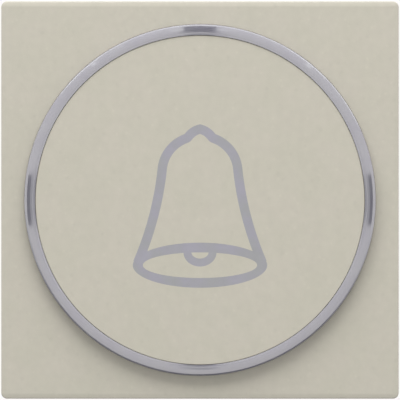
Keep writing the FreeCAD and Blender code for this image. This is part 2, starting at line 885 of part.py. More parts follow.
nodes = {
    "face_plate": face_plate(),
    "light_ring": light_ring(),
    "button_cap": button_cap(),
    "bell_symbol": bell_symbol(),
    "carrier": carrier(),
    "stop_pad": stop_pad(),
    "plunger": plunger(),
    "return_spring": return_spring(),
    "contact_spring": contact_spring(),
    "bridge_bar": bridge_bar(),
    "bridge_tips": bridge_tips(),
    "fixed_tips": fixed_tips(),
    "busbar_right": busbar(),
    "busbar_left": mirrored(busbar()),
    "clamp_right": clamp(),
    "clamp_left": mirrored(clamp()),
    "release_right": release(),
    "release_left": mirrored(release()),
    "rear_housing": rear_housing(),
    "housing_screws": Part.makeCompound(four_corners(housing_screw())),
    "led_board": led_board(),
    "lamps": pair(lamp()),
    "resistor": resistor(),
    "diode": diode(),
    "board_leads": pair(board_lead()),
}

os.makedirs("parts", exist_ok=True)
for name, shape in nodes.items():
    shape.rotate(vector(0, 0, 0), vector(1, 0, 0), 90)
    shape.exportStep(f"parts/{name}.step")
    print(name, len(shape.Solids), "solids", round(shape.Volume, 3), "mm3", "valid" if shape.isValid() else "INVALID")
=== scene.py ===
"""Looks of a flush doorbell push button: plate, clear ring, push cap with a bell, and its module.

Sizes are in millimetres as (x, up, out): x to the right, up the wall, and out of the wall from the
plate's back rim. Angles are in degrees. A level is a place along out.
"""

import logging
import math
from collections.abc import Iterator
from contextlib import contextmanager
from dataclasses import dataclass, field
from enum import Enum
from typing import Callable, Sequence

import bmesh
import bpy
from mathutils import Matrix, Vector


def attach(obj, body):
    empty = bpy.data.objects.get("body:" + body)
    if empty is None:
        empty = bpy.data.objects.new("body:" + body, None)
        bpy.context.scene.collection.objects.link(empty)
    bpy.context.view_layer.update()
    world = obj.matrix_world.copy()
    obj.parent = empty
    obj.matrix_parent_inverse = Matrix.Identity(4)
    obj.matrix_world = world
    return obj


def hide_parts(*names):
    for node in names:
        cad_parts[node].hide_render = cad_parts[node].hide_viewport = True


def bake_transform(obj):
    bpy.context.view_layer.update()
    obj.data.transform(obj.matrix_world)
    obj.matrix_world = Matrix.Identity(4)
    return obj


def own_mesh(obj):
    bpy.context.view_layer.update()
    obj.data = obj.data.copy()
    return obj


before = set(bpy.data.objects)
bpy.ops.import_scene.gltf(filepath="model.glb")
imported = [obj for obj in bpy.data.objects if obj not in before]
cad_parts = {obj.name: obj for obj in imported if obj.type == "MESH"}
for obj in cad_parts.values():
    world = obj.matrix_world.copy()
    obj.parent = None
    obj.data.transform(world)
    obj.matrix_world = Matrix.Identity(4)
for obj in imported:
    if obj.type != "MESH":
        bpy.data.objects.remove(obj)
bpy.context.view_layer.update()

MM = 0.001
LOG = logging.getLogger("doorbell")

Point = tuple[float, float, float]
Pair = tuple[float, float]
Colour = tuple[float, float, float]
Rgba = tuple[float, float, float, float]

WELD = 1e-7  # Vertices closer than this many metres become one.
FLAT_ANGLE = 0.6  # Triangles that meet at less than this angle are one flat face.
BEYOND = 1.0  # How far a cutter reaches past the surface that it cuts.
UNIT = (0.0, 1.0)
NOISE_SPAN = (0.3, 0.7)  # Nearly all of the noise lies in this range.
CLOUD_SPAN = (0.38, 0.62)  # Part of the noise that turns one tone into the other.
PATCH_SPAN = (0.4, 0.85)  # Part of the noise that makes the duller patches on metal.
TONE_SEED, GRAIN_SEED, PATCH_SEED = 1.7, 4.2, 3.0
TURNED_ANGLE = 50.0  # Edges of small turned pieces above this angle are sharp.
WIRE_ANGLE = 60.0  # The same for coiled wire.
WHITE = (1.0, 1.0, 1.0, 1.0)
BLACK = (0.0, 0.0, 0.0, 1.0)


class Plane(Enum):
    """Plane that an outline is drawn in; its prism runs along the third direction."""

    FRONT = "x and up, running out of the wall"
    LEVEL = "x and out, running up the wall"


class Body(Enum):
    """Bodies of the part that pieces ride on."""

    MODULE = "module"
    BUTTON = "button"
    BRIDGE = "bridge"
    RIGHT_RELEASE = "right_release"
    LEFT_RELEASE = "left_release"


def linear(colour: Colour) -> Rgba:
    """Turns a display colour into the linear one that shaders use.

    Args:
        colour: Red, green and blue from 0 to 255 as seen on a screen.

    Returns:
        The linear colour with an alpha of 1.
    """
    shares = [c / 255 for c in colour]
    turned = [s / 12.92 if s <= 0.04045 else ((s + 0.055) / 1.055) ** 2.4 for s in shares]
    return (turned[0], turned[1], turned[2], 1.0)


def row_point(x: float, up: float, out: float) -> Point:
    """Place of (x, up, out) in the row frame, in metres."""
    return (x * MM, -out * MM, up * MM)


def linked(name: str, data: bpy.types.ID) -> bpy.types.Object:
    """Puts a new object into the scene.

    Args:
        name: Name of the object.
        data: Its mesh, light or camera.

    Returns:
        The object, at the origin.
    """
    made = bpy.data.objects.new(name, data)
    bpy.context.scene.collection.objects.link(made)
    return made


def meshed(
    name: str, points: Sequence[Point], faces: Sequence[Sequence[int]] = (),
) -> bpy.types.Object:
    """Makes a mesh object.

    Args:
        name: Name of the object and of its mesh.
        points: Vertices in the row frame, in metres.
        faces: Loops of vertex numbers.

    Returns:
        The object, at the origin.
    """
    mesh = bpy.data.meshes.new(name)
    mesh.from_pydata(points, [], faces)
    return linked(name, mesh)


@contextmanager
def edited(mesh: bpy.types.Mesh) -> Iterator[bmesh.types.BMesh]:
    """Opens a mesh for editing and writes it back.

    Args:
        mesh: Mesh that is changed.

    Yields:
        Its editable form.
    """
    work = bmesh.new()
    work.from_mesh(mesh)
    yield work
    work.to_mesh(mesh)
    work.free()


@dataclass
class Shape:
    """Vertices and faces under construction.

    Attributes:
        vertices: Points as (x, up, out).
        faces: Loops of vertex numbers.
    """

    vertices: list[Point] = field(default_factory=list)
    faces: list[tuple[int, ...]] = field(default_factory=list)

    def join(self, *others: "Shape") -> "Shape":
        """Puts other shapes beside this one.

        Args:
            *others: Shapes that are added.

        Returns:
            One new shape.
        """
        whole = Shape(list(self.vertices), list(self.faces))
        for other in others:
            start = len(whole.vertices)
            whole.vertices += other.vertices
            whole.faces += [tuple(i + start for i in loop) for loop in other.faces]
        return whole

    def mapped(self, change: Callable[[float, float, float], Point]) -> "Shape":
        """Moves each vertex by a rule."""
        return Shape([change(*v) for v in self.vertices], list(self.faces))

    def moved(self, x: float, up: float) -> "Shape":
        """Shifts the shape across the wall."""
        return self.mapped(lambda a, b, c: (a + x, b + up, c))

    def turned(self, angle: float) -> "Shape":
        """Turns the shape about the push axis."""
        c, s = math.cos(math.radians(angle)), math.sin(math.radians(angle))
        return self.mapped(lambda a, b, d: (a * c - b * s, a * s + b * c, d))

    def mirrored(self) -> "Shape":
        """The shape on the other side of the vertical middle plane."""
        return self.mapped(lambda a, b, c: (-a, b, c))

    def build(self, name: str) -> bpy.types.Object:
        """Makes a mesh object at the origin, in the row frame, with outward faces.

        Args:
            name: Name of the object.

        Returns:
            The new object.
        """
        made = meshed(name, [row_point(*v) for v in self.vertices], self.faces)
        with edited(made.data) as work:
            bmesh.ops.remove_doubles(work, verts=work.verts, dist=WELD)
            bmesh.ops.recalc_face_normals(work, faces=work.faces)
        return made


def loft(sections: Sequence[Sequence[Point]], closed: bool = True) -> Shape:
    """Joins loops with the same number of points by bands of faces.

    Args:
        sections: Loops in order.
        closed: Whether the last loop joins the first.

    Returns:
        The lofted shape.
    """
    rows, count = len(sections), len(sections[0])
    shape = Shape([p for loop in sections for p in loop])
    for r in range(rows if closed else rows - 1):
        one, two = r * count, (r + 1) % rows * count
        for k in range(count):
            n = (k + 1) % count
            shape.faces.append((one + k, one + n, two + n, two + k))
    return shape


def capped(sections: Sequence[Sequence[Point]]) -> Shape:
    """Joins loops by bands of faces, with one face over the first and the last loop.

    Args:
        sections: Loops in order, with the same number of points.

    Returns:
        The closed shape.
    """
    count = len(sections[0])
    last = (len(sections) - 1) * count
    shape = loft(sections, closed=False)
    shape.faces += [tuple(range(count)), tuple(range(last, last + count))]
    return shape


def lathe(profile: Sequence[Pair], segments: int = 192) -> Shape:
    """Turns a profile about the push axis.

    Args:
        profile: Points as (radius, out). A profile that starts and ends on the axis gives a
            closed body, and any other closes on itself as a ring.
        segments: Steps round the circle.

    Returns:
        The turned shape.
    """
    solid = profile[0][0] == 0.0 and profile[-1][0] == 0.0
    turns = [2 * math.pi * k / segments for k in range(segments)]
    loops = [[(radius * math.cos(a), radius * math.sin(a), out) for a in turns]
             for radius, out in (profile[1:-1] if solid else profile)]
    return capped(loops) if solid else loft(loops)


def prism(outline: Sequence[Pair], start: float, end: float, plane: Plane = Plane.FRONT) -> Shape:
    """Solid with straight walls over an outline.

    Args:
        outline: Corners in the plane.
        start: Lower end along the third direction.
        end: Upper end along the third direction.
        plane: Plane that the outline lies in.

    Returns:
        The closed prism.
    """
    return capped([[(a, b, level) if plane is Plane.FRONT else (a, level, b) for a, b in outline]
                   for level in (start, end)])


def block(x: Pair, up: Pair, out: Pair) -> Shape:
    """Box between limits in each direction."""
    return prism([(x[0], up[0]), (x[1], up[0]), (x[1], up[1]), (x[0], up[1])], *out)


def corner_arc(
    x: float, y: float, radius: float, start: float, end: float, steps: int,
) -> list[Pair]:
    """Points along an arc.

    Args:
        x: First coordinate of the centre.
        y: Second coordinate of the centre.
        radius: Radius of the arc.
        start: Angle of the first point.
        end: Angle of the last point.
        steps: Number of chords.

    Returns:
        The points, both ends included.
    """
    angles = [math.radians(start + (end - start) * k / steps) for k in range(steps + 1)]
    return [(x + radius * math.cos(a), y + radius * math.sin(a)) for a in angles]


def dome(radius: float, base: float, rise: float, steps: int) -> list[Pair]:
    """Half profile of a dome, without its highest point.

    Args:
        radius: Radius at its foot.
        base: Level of its foot.
        rise: Height.
        steps: Number of chords.

    Returns:
        Points as (radius, out).
    """
    angles = [math.pi / 2 * k / steps for k in range(steps)]
    return [(radius * math.cos(a), base + rise * math.sin(a)) for a in angles]


def rounded_square(
    half: float, radius: float, per_side: int = 64, per_corner: int = 6,
) -> list[Pair]:
    """Outline of a square with round corners, with the same number of points for any size.

    Args:
        half: Half of the side.
        radius: Corner radius.
        per_side: Points along each straight side.
        per_corner: Chords of each corner.

    Returns:
        Points anticlockwise.
    """
    points: list[Pair] = []
    inner = half - radius
    for turn in (0, 90, 180, 270):
        c, s = round(math.cos(math.radians(turn))), round(math.sin(math.radians(turn)))
        side = [(half, -inner + 2 * inner * k / per_side) for k in range(per_side)]
        side += corner_arc(inner, inner, radius, 0, 90, per_corner)[:-1]
        points += [(a * c - b * s, a * s + b * c) for a, b in side]
    return points


def smooth(piece: bpy.types.Object, angle: float = 32.0) -> bpy.types.Object:
    """Shades a piece smoothly.

    Args:
        piece: Mesh object.
        angle: Edges above this angle are sharp.

    Returns:
        The same piece.
    """
    mesh = piece.data
    if mesh.has_custom_normals:
        mesh.attributes.remove(mesh.attributes["custom_normal"])
    mesh.polygons.foreach_set("use_smooth", [True] * len(mesh.polygons))
    mesh.set_sharp_from_angle(angle=math.radians(angle))
    return piece


def applied(piece: bpy.types.Object) -> bpy.types.Object:
    """Turns the modifiers' result into the piece's own plain mesh.

    Args:
        piece: Object with modifiers.

    Returns:
        The same piece without them.
    """
    evaluated = piece.evaluated_get(bpy.context.evaluated_depsgraph_get())
    mesh = bpy.data.meshes.new_from_object(evaluated)
    piece.modifiers.clear()
    piece.data = mesh
    mesh.name = piece.name
    return piece


def softened(
    piece: bpy.types.Object, width: float, angle: float = 35.0,
    keep: Callable[[Vector], bool] | None = None,
) -> bpy.types.Object:
    """Rounds the sharp edges of a piece.

    Args:
        piece: Mesh object.
        width: Width of the rounding.
        angle: Edges above this angle are rounded.
        keep: Tells from the middle of an edge, in metres, that it stays sharp.

    Returns:
        The same piece with its new mesh, shaded smoothly with its flat faces kept flat.
    """
    piece.data.polygons.foreach_set("use_smooth", [True] * len(piece.data.polygons))
    bevel = piece.modifiers.new("edges", "BEVEL")
    bevel.harden_normals = True
    bevel.width = width * MM
    bevel.segments = 2
    bevel.limit_method = "WEIGHT" if keep else "ANGLE"
    bevel.angle_limit = math.radians(angle)
    bevel.use_clamp_overlap = False
    if keep:
        with edited(piece.data) as work:
            weight = work.edges.layers.float.new("bevel_weight_edge")
            for edge in work.edges:
                if edge.calc_face_angle(0.0) > math.radians(angle):
                    kept = keep((edge.verts[0].co + edge.verts[1].co) / 2)
                    edge.smooth = not kept
                    edge[weight] = 0.0 if kept else 1.0
    return applied(piece)


def carve(piece: bpy.types.Object, cutter: bpy.types.Object) -> bpy.types.Object:
    """Cuts one piece out of another and removes the cutter.

    Args:
        piece: Closed mesh object.
        cutter: Closed mesh object that is taken away from it.

    Returns:
        The cut piece.
    """
    cut = piece.modifiers.new("cut", "BOOLEAN")
    cut.operation = "DIFFERENCE"
    cut.solver = "EXACT"
    cut.object = cutter
    applied(piece)
    bpy.data.objects.remove(cutter)
    return piece


def merged(piece: bpy.types.Object, other: bpy.types.Object) -> bpy.types.Object:
    """Adds another piece's mesh to a piece and removes the other one.

    Args:
        piece: Mesh object.
        other: Mesh object that goes into it.

    Returns:
        The piece with both meshes.
    """
    with edited(piece.data) as work:
        work.from_mesh(other.data)
    bpy.data.objects.remove(other)
    return piece


def frame_copy(node: str, name: str, join_flats: bool = True) -> bpy.types.Object:
    """Clean copy of a node of the frame, with its doubled vertices merged.

    Args:
        node: Name of the node.
        name: Name of the copy.
        join_flats: Joins the triangles of flat areas into single faces.

    Returns:
        The new object, on no body yet.
    """
    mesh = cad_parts[node].data.copy()
    mesh.name = name
    with edited(mesh) as work:
        bmesh.ops.remove_doubles(work, verts=work.verts, dist=WELD)
        if join_flats:
            limit = math.radians(FLAT_ANGLE)
            bmesh.ops.dissolve_limit(work, angle_limit=limit, verts=work.verts, edges=work.edges)
    mesh.materials.clear()
    return linked(name, mesh)


class NodeBuilder:
    """Adds and links the nodes of one tree.

    Attributes:
        tree: The node tree.
    """

    def __init__(self, tree: bpy.types.NodeTree) -> None:
        """Keeps the tree."""
        self.tree = tree

    def plug(self, socket: bpy.types.NodeSocket, value: object) -> None:
        """Links a socket to an output, or sets its value.

        Args:
            socket: Input of a node.
            value: Output of another node, or a plain value.
        """
        if isinstance(value, bpy.types.NodeSocket):
            self.tree.links.new(value, socket)
        else:
            socket.default_value = value

    def add(
        self, kind: str, inputs: dict[str | int, object] | None = None, **values: object,
    ) -> bpy.types.Node:
        """Adds a node.

        Args:
            kind: Type name of the node.
            inputs: Link or value of each input, by its name or number.
            **values: Properties of the node.

        Returns:
            The node.
        """
        node = self.tree.nodes.new(kind)
        for key, value in values.items():
            setattr(node, key, value)
        for key, value in (inputs or {}).items():
            self.plug(node.inputs[key], value)
        return node


class Shader(NodeBuilder):
    """Builder of one material.

    Attributes:
        material: The material.
        surface: Its principled shader.
        place: Object coordinates.
    """

    def __init__(self, name: str) -> None:
        """Starts a material.

        Args:
            name: Name of the material.
        """
        self.material = bpy.data.materials.new(name)
        self.material.use_nodes = True
        super().__init__(self.material.node_tree)
        self.surface = self.tree.nodes["Principled BSDF"]
        self.place = self.add("ShaderNodeTexCoord").outputs["Object"]

    def set(self, **values: object) -> None:
        """Sets or links sockets of the principled shader; underscores stand for spaces."""
        for key, value in values.items():
            self.plug(self.surface.inputs[key.replace("_", " ")], value)

    def noise(
        self, size: float, detail: float = 3.0, stretch: Point = (1.0, 1.0, 1.0), seed: float = 0.0,
    ) -> bpy.types.NodeSocket:
        """Noise on object coordinates.

        Args:
            size: Size of its features.
            detail: Octaves.
            stretch: Length of a feature along each axis, as a multiple of its size.
            seed: Picks one of many patterns.

        Returns:
            The output with values from 0 to 1.
        """
        mapping = self.add("ShaderNodeMapping", {
            "Vector": self.place, "Scale": tuple(1 / s for s in stretch),
        })
        return self.add("ShaderNodeTexNoise", {
            "Vector": mapping.outputs["Vector"], "W": seed, "Scale": 1 / (size * MM),
            "Detail": detail,
        }, noise_dimensions="4D").outputs["Fac"]

    def spots(self, size: float, radius: float) -> bpy.types.NodeSocket:
        """Scattered round spots.

        Args:
            size: Size of the cells, with one spot in each.
            radius: Radius of a spot as a share of a cell.

        Returns:
            The output: 1 in the middle of a spot and 0 beyond its radius.
        """
        cells = self.add("ShaderNodeTexVoronoi", {"Vector": self.place, "Scale": 1 / (size * MM)})
        return self.span(cells.outputs["Distance"], (0.0, radius), (1.0, 0.0))

    def span(self, value: object, source: Pair, target: Pair) -> bpy.types.NodeSocket:
        """Maps a value from one range to another, held at the ends.

        Args:
            value: Value or output.
            source: Range that it comes from.
            target: Range that it goes to.

        Returns:
            The output.
        """
        return self.add("ShaderNodeMapRange", {
            "Value": value, "From Min": source[0], "From Max": source[1],
            "To Min": target[0], "To Max": target[1],
        }).outputs["Result"]

    def math(self, operation: str, a: object, b: object) -> bpy.types.NodeSocket:
        """Arithmetic on two values."""
        return self.add("ShaderNodeMath", {0: a, 1: b}, operation=operation).outputs[0]

    def mix(self, share: object, a: object, b: object) -> bpy.types.NodeSocket:
        """Colour between two colours."""
        inputs = {"Factor": share, "A": a, "B": b}
        return self.add("ShaderNodeMix", inputs, data_type="RGBA").outputs["Result"]

    def brighten(self, colour: object, factor: object) -> bpy.types.NodeSocket:
        """Colour times a factor."""
        inputs = {0: colour, "Scale": factor}
        return self.add("ShaderNodeVectorMath", inputs, operation="SCALE").outputs[0]

    def relief(self, height: object, depth: float) -> None:
        """Bumps the surface by a height from 0 to 1 times a depth."""
        inputs = {"Height": height, "Distance": depth * MM, "Strength": 1.0}
        self.set(Normal=self.add("ShaderNodeBump", inputs).outputs["Normal"])


@dataclass(frozen=True)
class Moulded:
    """Moulded plastic with a faint cloudy tone and a fine eroded grain.

    Attributes:
        name: Name of the material.
        colour: Main display colour.
        second: Colour of the clouds.
        roughness: Mean roughness.
        cloud: Size of the clouds.
        grain: Size of the grain.
        depth: Depth of the grain.
        fleck: Brightness that the small flecks add.
        clear: Share of light that goes through.
        coat: Weight of the glossy coat.
        glow: Share of light that scatters below the surface.
        gloss: Refractive index of the coat.
        tone: How much the fine tone brightens or darkens.
        tone_size: Size of the fine tone as a multiple of the grain.
        spread: How far the roughness goes to both sides of its mean.
        light_fleck: Spacing as a multiple of the grain, and radius as a share of the spacing.
        dark_fleck: The same for the dark flecks.
        coat_roughness: Roughness of the coat.
        scatter: How far light goes below the surface.
    """

    name: str
    colour: Colour
    second: Colour
    roughness: float = 0.5
    cloud: float = 5.0
    grain: float = 0.3
    depth: float = 0.01
    fleck: float = 0.0
    clear: float = 0.0
    coat: float = 0.0
    glow: float = 0.0
    gloss: float = 1.5
    tone: float = 0.025
    tone_size: float = 4.0
    spread: float = 0.04
    light_fleck: Pair = (5.0, 0.22)
    dark_fleck: Pair = (7.0, 0.2)
    coat_roughness: float = 0.06
    scatter: float = 0.6

    def build(self) -> bpy.types.Material:
        """Makes the material.

        Returns:
            The material.
        """
        shader = Shader(self.name)
        clouds = shader.span(shader.noise(self.cloud), CLOUD_SPAN, UNIT)
        colour = shader.mix(clouds, linear(self.colour), linear(self.second))
        fine = shader.noise(self.grain * self.tone_size, 4.0, seed=TONE_SEED)
        tone = shader.span(fine, NOISE_SPAN, (1 - self.tone, 1 + self.tone))
        if self.fleck > 0:
            for (spacing, radius), sign in ((self.light_fleck, 1), (self.dark_fleck, -1)):
                spots = shader.spots(self.grain * spacing, radius)
                tone = shader.math("ADD", tone, shader.math("MULTIPLY", spots, sign * self.fleck))
        rough = (self.roughness - self.spread, self.roughness + self.spread)
        shader.set(
            Base_Color=shader.brighten(colour, tone),
            Roughness=shader.span(fine, NOISE_SPAN, rough), Coat_Weight=self.coat,
            Coat_Roughness=self.coat_roughness, Coat_IOR=self.gloss,
            Transmission_Weight=self.clear, IOR=1.5,
        )
        if self.glow > 0:
            shader.set(
                Subsurface_Weight=self.glow, Subsurface_Radius=(1.0, 1.0, 1.0),
                Subsurface_Scale=self.scatter * MM,
            )
        shader.relief(shader.noise(self.grain, seed=GRAIN_SEED), self.depth)
        return shader.material


@dataclass(frozen=True)
class Metal:
    """Rolled, drawn or plated metal with fine streaks and stains.

    Attributes:
        name: Name of the material.
        colour: Display colour.
        stain: Colour of the duller patches.
        roughness: Mean roughness.
        streak: Size of the streaks.
        stretch: How much longer a streak is along each axis.
        depth: Depth of the streaks.
        patch: Size of the duller patches.
        dull: Roughness that a patch adds.
        spread: How far the roughness goes to both sides of its mean.
    """

    name: str
    colour: Colour
    stain: Colour
    roughness: float = 0.3
    streak: float = 0.15
    stretch: Point = (1.0, 1.0, 20.0)
    depth: float = 0.004
    patch: float = 2.5
    dull: float = 0.08
    spread: float = 0.07

    def build(self) -> bpy.types.Material:
        """Makes the material.

        Returns:
            The material.
        """
        shader = Shader(self.name)
        lines = shader.noise(self.streak, 3.0, self.stretch)
        patches = shader.span(shader.noise(self.patch, seed=PATCH_SEED), PATCH_SPAN, UNIT)
        rough = (self.roughness - self.spread, self.roughness + self.spread)
        shader.set(
            Base_Color=shader.mix(patches, linear(self.colour), linear(self.stain)), Metallic=1.0,
            Roughness=shader.math("ADD", shader.span(lines, NOISE_SPAN, rough),
                                  shader.span(patches, UNIT, (0.0, self.dull))),
        )
        shader.relief(lines, self.depth)
        return shader.material


@dataclass(frozen=True)
class Laminate:
    """Lacquered circuit board with traces under the lacquer.

    Attributes:
        name: Name of the material.
        colour: Display colour of the lacquer on bare laminate.
        trace: Display colour of the lacquer over copper.
        width: Width of a trace and its gap.
        run: Length of a trace as a multiple of twice its width.
        gap: Width of the gap as a share of twice the trace's width.
        weave: Size of the glass weave.
        weave_tone: Darkest and brightest tone of the weave.
        weave_height: Its height as a share of the traces' height.
        roughness: Lowest and highest roughness.
        coat: Weight and roughness of the lacquer.
        depth: Height of the traces.
    """

    name: str
    colour: Colour
    trace: Colour
    width: float = 1.1
    run: float = 3.0
    gap: float = 0.07
    weave: float = 0.25
    weave_tone: Pair = (0.9, 1.1)
    weave_height: float = 0.2
    roughness: Pair = (0.25, 0.4)
    coat: Pair = (0.3, 0.1)
    depth: float = 0.012

    def build(self) -> bpy.types.Material:
        """Makes the material.

        Returns:
            The material.
        """
        shader = Shader(self.name)
        mapping = shader.add("ShaderNodeMapping", {
            "Vector": shader.place, "Rotation": (math.pi / 2, 0, 0),
        })
        bricks = shader.add("ShaderNodeTexBrick", {
            "Vector": mapping.outputs["Vector"], "Scale": 1 / (self.width * 2 * MM),
            "Mortar Size": self.gap, "Brick Width": self.run,
        })
        copper = shader.span(bricks.outputs["Fac"], UNIT, (1.0, 0.0))
        weave = shader.noise(self.weave, 2.0)
        colour = shader.mix(copper, linear(self.colour), linear(self.trace))
        shader.set(
            Base_Color=shader.brighten(colour, shader.span(weave, NOISE_SPAN, self.weave_tone)),
            Roughness=shader.span(weave, NOISE_SPAN, self.roughness),
            Coat_Weight=self.coat[0], Coat_Roughness=self.coat[1],
        )
        threads = shader.math("MULTIPLY", weave, self.weave_height)
        shader.relief(shader.math("ADD", copper, threads), self.depth)
        return shader.material


Finish = Moulded | Metal | Laminate

CHAMPAGNE = Moulded("champagne_satin", (203, 198, 184), (201, 197, 182), roughness=0.5, cloud=3.5,
                    grain=0.22, depth=0.006, fleck=0.05)
CLEAR_LILAC = Moulded("clear_lilac", (144, 142, 155), (150, 149, 158), roughness=0.12, cloud=3.0,
                      grain=0.6, depth=0.0004, clear=0.15, coat=1.0, glow=0.2, gloss=2.8)
SYMBOL = Moulded("symbol_lilac", (168, 166, 176), (166, 166, 168), roughness=0.42, cloud=2.5,
                 grain=0.25, depth=0.003, glow=0.1)
CARRIER = Moulded("carrier_white", (208, 208, 203), (205, 206, 201), roughness=0.45, cloud=7.0,
                  grain=0.35, depth=0.008)
HOUSING = Moulded("housing_grey", (192, 192, 190), (188, 189, 187), roughness=0.5, cloud=8.0,
                  grain=0.35, depth=0.012)
PLUNGER = Moulded("plunger_black", (48, 48, 51), (40, 40, 43), roughness=0.42, cloud=3.0,
                  depth=0.008)
RELEASE = Moulded("release_orange", (214, 106, 32), (206, 98, 28), roughness=0.42, cloud=3.0,
                  depth=0.008)
RUBBER = Moulded("pad_black", (34, 34, 34), (28, 28, 29), roughness=0.75, cloud=1.5, grain=0.15,
                 depth=0.012)
SPRING = Metal("spring_bright", (176, 176, 178), (150, 148, 144), roughness=0.24, streak=0.08,
               depth=0.002)
SCREW = Metal("screw_zinc", (196, 198, 204), (172, 172, 168), streak=0.1, stretch=(1.0, 1.0, 1.0))
COPPER = Metal("strip_brass", (208, 168, 106), (194, 152, 94), roughness=0.28, streak=0.12,
               stretch=(1.0, 12.0, 12.0))
SILVER = Metal("contact_silver", (222, 221, 216), (190, 186, 178), roughness=0.22, streak=0.06,
               stretch=(1.0, 1.0, 1.0))
TINNED = Metal("lead_tinned", (186, 186, 182), (160, 160, 156), roughness=0.32, streak=0.08)
BOARD = Laminate("board_green", (38, 92, 56), (46, 104, 64))
LENS = Moulded("lamp_clear", (240, 236, 220), (236, 230, 208), roughness=0.12, clear=0.6,
               coat=0.5, glow=0.2, cloud=1.0)
LAMP_BODY = Moulded("lamp_white", (226, 224, 216), (220, 218, 210), roughness=0.4, cloud=0.8,
                    grain=0.1, depth=0.004)
RESISTOR = Moulded("resistor_black", (30, 30, 32), (36, 36, 38), roughness=0.4, cloud=1.0,
                   grain=0.12, depth=0.006)
DIODE = Moulded("diode_amber", (178, 84, 44), (150, 62, 32), roughness=0.15, clear=0.4, coat=0.6,
                cloud=1.2)


class Wardrobe:
    """Builds each finish once and gives it to pieces and to nodes of the frame.

    Attributes:
        built: Material of each finish so far, by its name.
    """

    def __init__(self) -> None:
        """Starts with no material."""
        self.built: dict[str, bpy.types.Material] = {}

    def material(self, finish: Finish) -> bpy.types.Material:
        """The material of a finish, built at first use.

        Args:
            finish: Finish that is wanted.

        Returns:
            Its material.
        """
        if finish.name not in self.built:
            self.built[finish.name] = finish.build()
        return self.built[finish.name]

    def dress(
        self, piece: bpy.types.Object, finish: Finish, body: Body,
        nodes: Sequence[str] = (),
    ) -> bpy.types.Object:
        """Gives a finished piece its material, its body and the nodes that it stands for.

        Args:
            piece: Finished mesh object at the origin.
            finish: Finish of the whole piece.
            body: Body that it rides on.
            nodes: Nodes of the frame that it replaces.

        Returns:
            The piece.
        """
        if not piece.data.materials:
            piece.data.materials.append(self.material(finish))
        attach(piece, body.value)
        if nodes:
            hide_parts(*nodes)
        LOG.info("%s: %d faces on %s", piece.name, len(piece.data.polygons), body.value)
        return piece

    def dress_node(self, node: str, finish: Finish) -> None:
        """Gives a node of the frame a new material in its own slots.

        Args:
            node: Name of the node.
            finish: Its finish.
        """
        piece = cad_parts[node]
        if not piece.data.materials:
            piece.data.materials.append(None)
        for k in range(len(piece.data.materials)):
            piece.data.materials[k] = self.material(finish)
        LOG.info("%s: finish %s", node, finish.name)


class NodeMachine(NodeBuilder):
    """One geometry node tree with named inputs, run on a mesh of its own.

    Attributes:
        names: Identifier of each named input.
        source: The tree's input node.
        sink: Its output node.
    """

    def __init__(self, name: str, sockets: dict[str, str]) -> None:
        """Starts a tree.

        Args:
            name: Name of the tree.
            sockets: Name and socket type of each input besides the geometry.
        """
        super().__init__(bpy.data.node_groups.new(name, "GeometryNodeTree"))
        face = self.tree.interface
        for way in ("OUTPUT", "INPUT"):
            face.new_socket("Geometry", in_out=way, socket_type="NodeSocketGeometry")
        self.names = {key: face.new_socket(key, in_out="INPUT", socket_type=kind).identifier
                      for key, kind in sockets.items()}
        self.source = self.add("NodeGroupInput")
        self.sink = self.add("NodeGroupOutput")

    def end(self, geometry: bpy.types.NodeSocket) -> None:
        """Closes the tree with real geometry and its material.

        Args:
            geometry: What the tree has made.
        """
        real = self.add("GeometryNodeRealizeInstances", {"Geometry": geometry})
        painted = self.add("GeometryNodeSetMaterial", {
            "Geometry": real.outputs[0], "Material": self.source.outputs["Finish"],
        })
        self.plug(self.sink.inputs["Geometry"], painted.outputs[0])

    def run(
        self, name: str, places: Sequence[Point], values: dict[str, object],
    ) -> bpy.types.Object:
        """Runs the tree and keeps the result as a plain mesh.

        Args:
            name: Name of the new object.
            places: Points as (x, up, out) that the tree starts from.
            values: Value of each named input.

        Returns:
            The new object.
        """
        made = meshed(name, [row_point(*p) for p in places])
        modifier = made.modifiers.new("tree", "NODES")
        modifier.node_group = self.tree
        for key, value in values.items():
            modifier[self.names[key]] = value
        return applied(made)


class Scatter(NodeMachine):
    """Copies of one piece at given points."""

    def __init__(self) -> None:
        """Builds the tree."""
        super().__init__("copies", {"Piece": "NodeSocketObject", "Finish": "NodeSocketMaterial"})
        get = self.source.outputs
        piece = self.add("GeometryNodeObjectInfo", {"Object": get["Piece"]})
        copies = self.add("GeometryNodeInstanceOnPoints", {
            "Points": get["Geometry"], "Instance": piece.outputs["Geometry"],
        })
        self.end(copies.outputs[0])

    def place(
        self, name: str, pattern: bpy.types.Object, places: Sequence[Point],
        finish: bpy.types.Material,
    ) -> bpy.types.Object:
        """Puts copies of a pattern at places and removes the pattern.

        Args:
            name: Name of the new object.
            pattern: Piece drawn round the origin.
            places: Points as (x, up, out).
            finish: Material of the copies.

        Returns:
            The copies as one piece.
        """
        made = self.run(name, places, {"Piece": pattern, "Finish": finish})
        bpy.data.objects.remove(pattern)
        return made


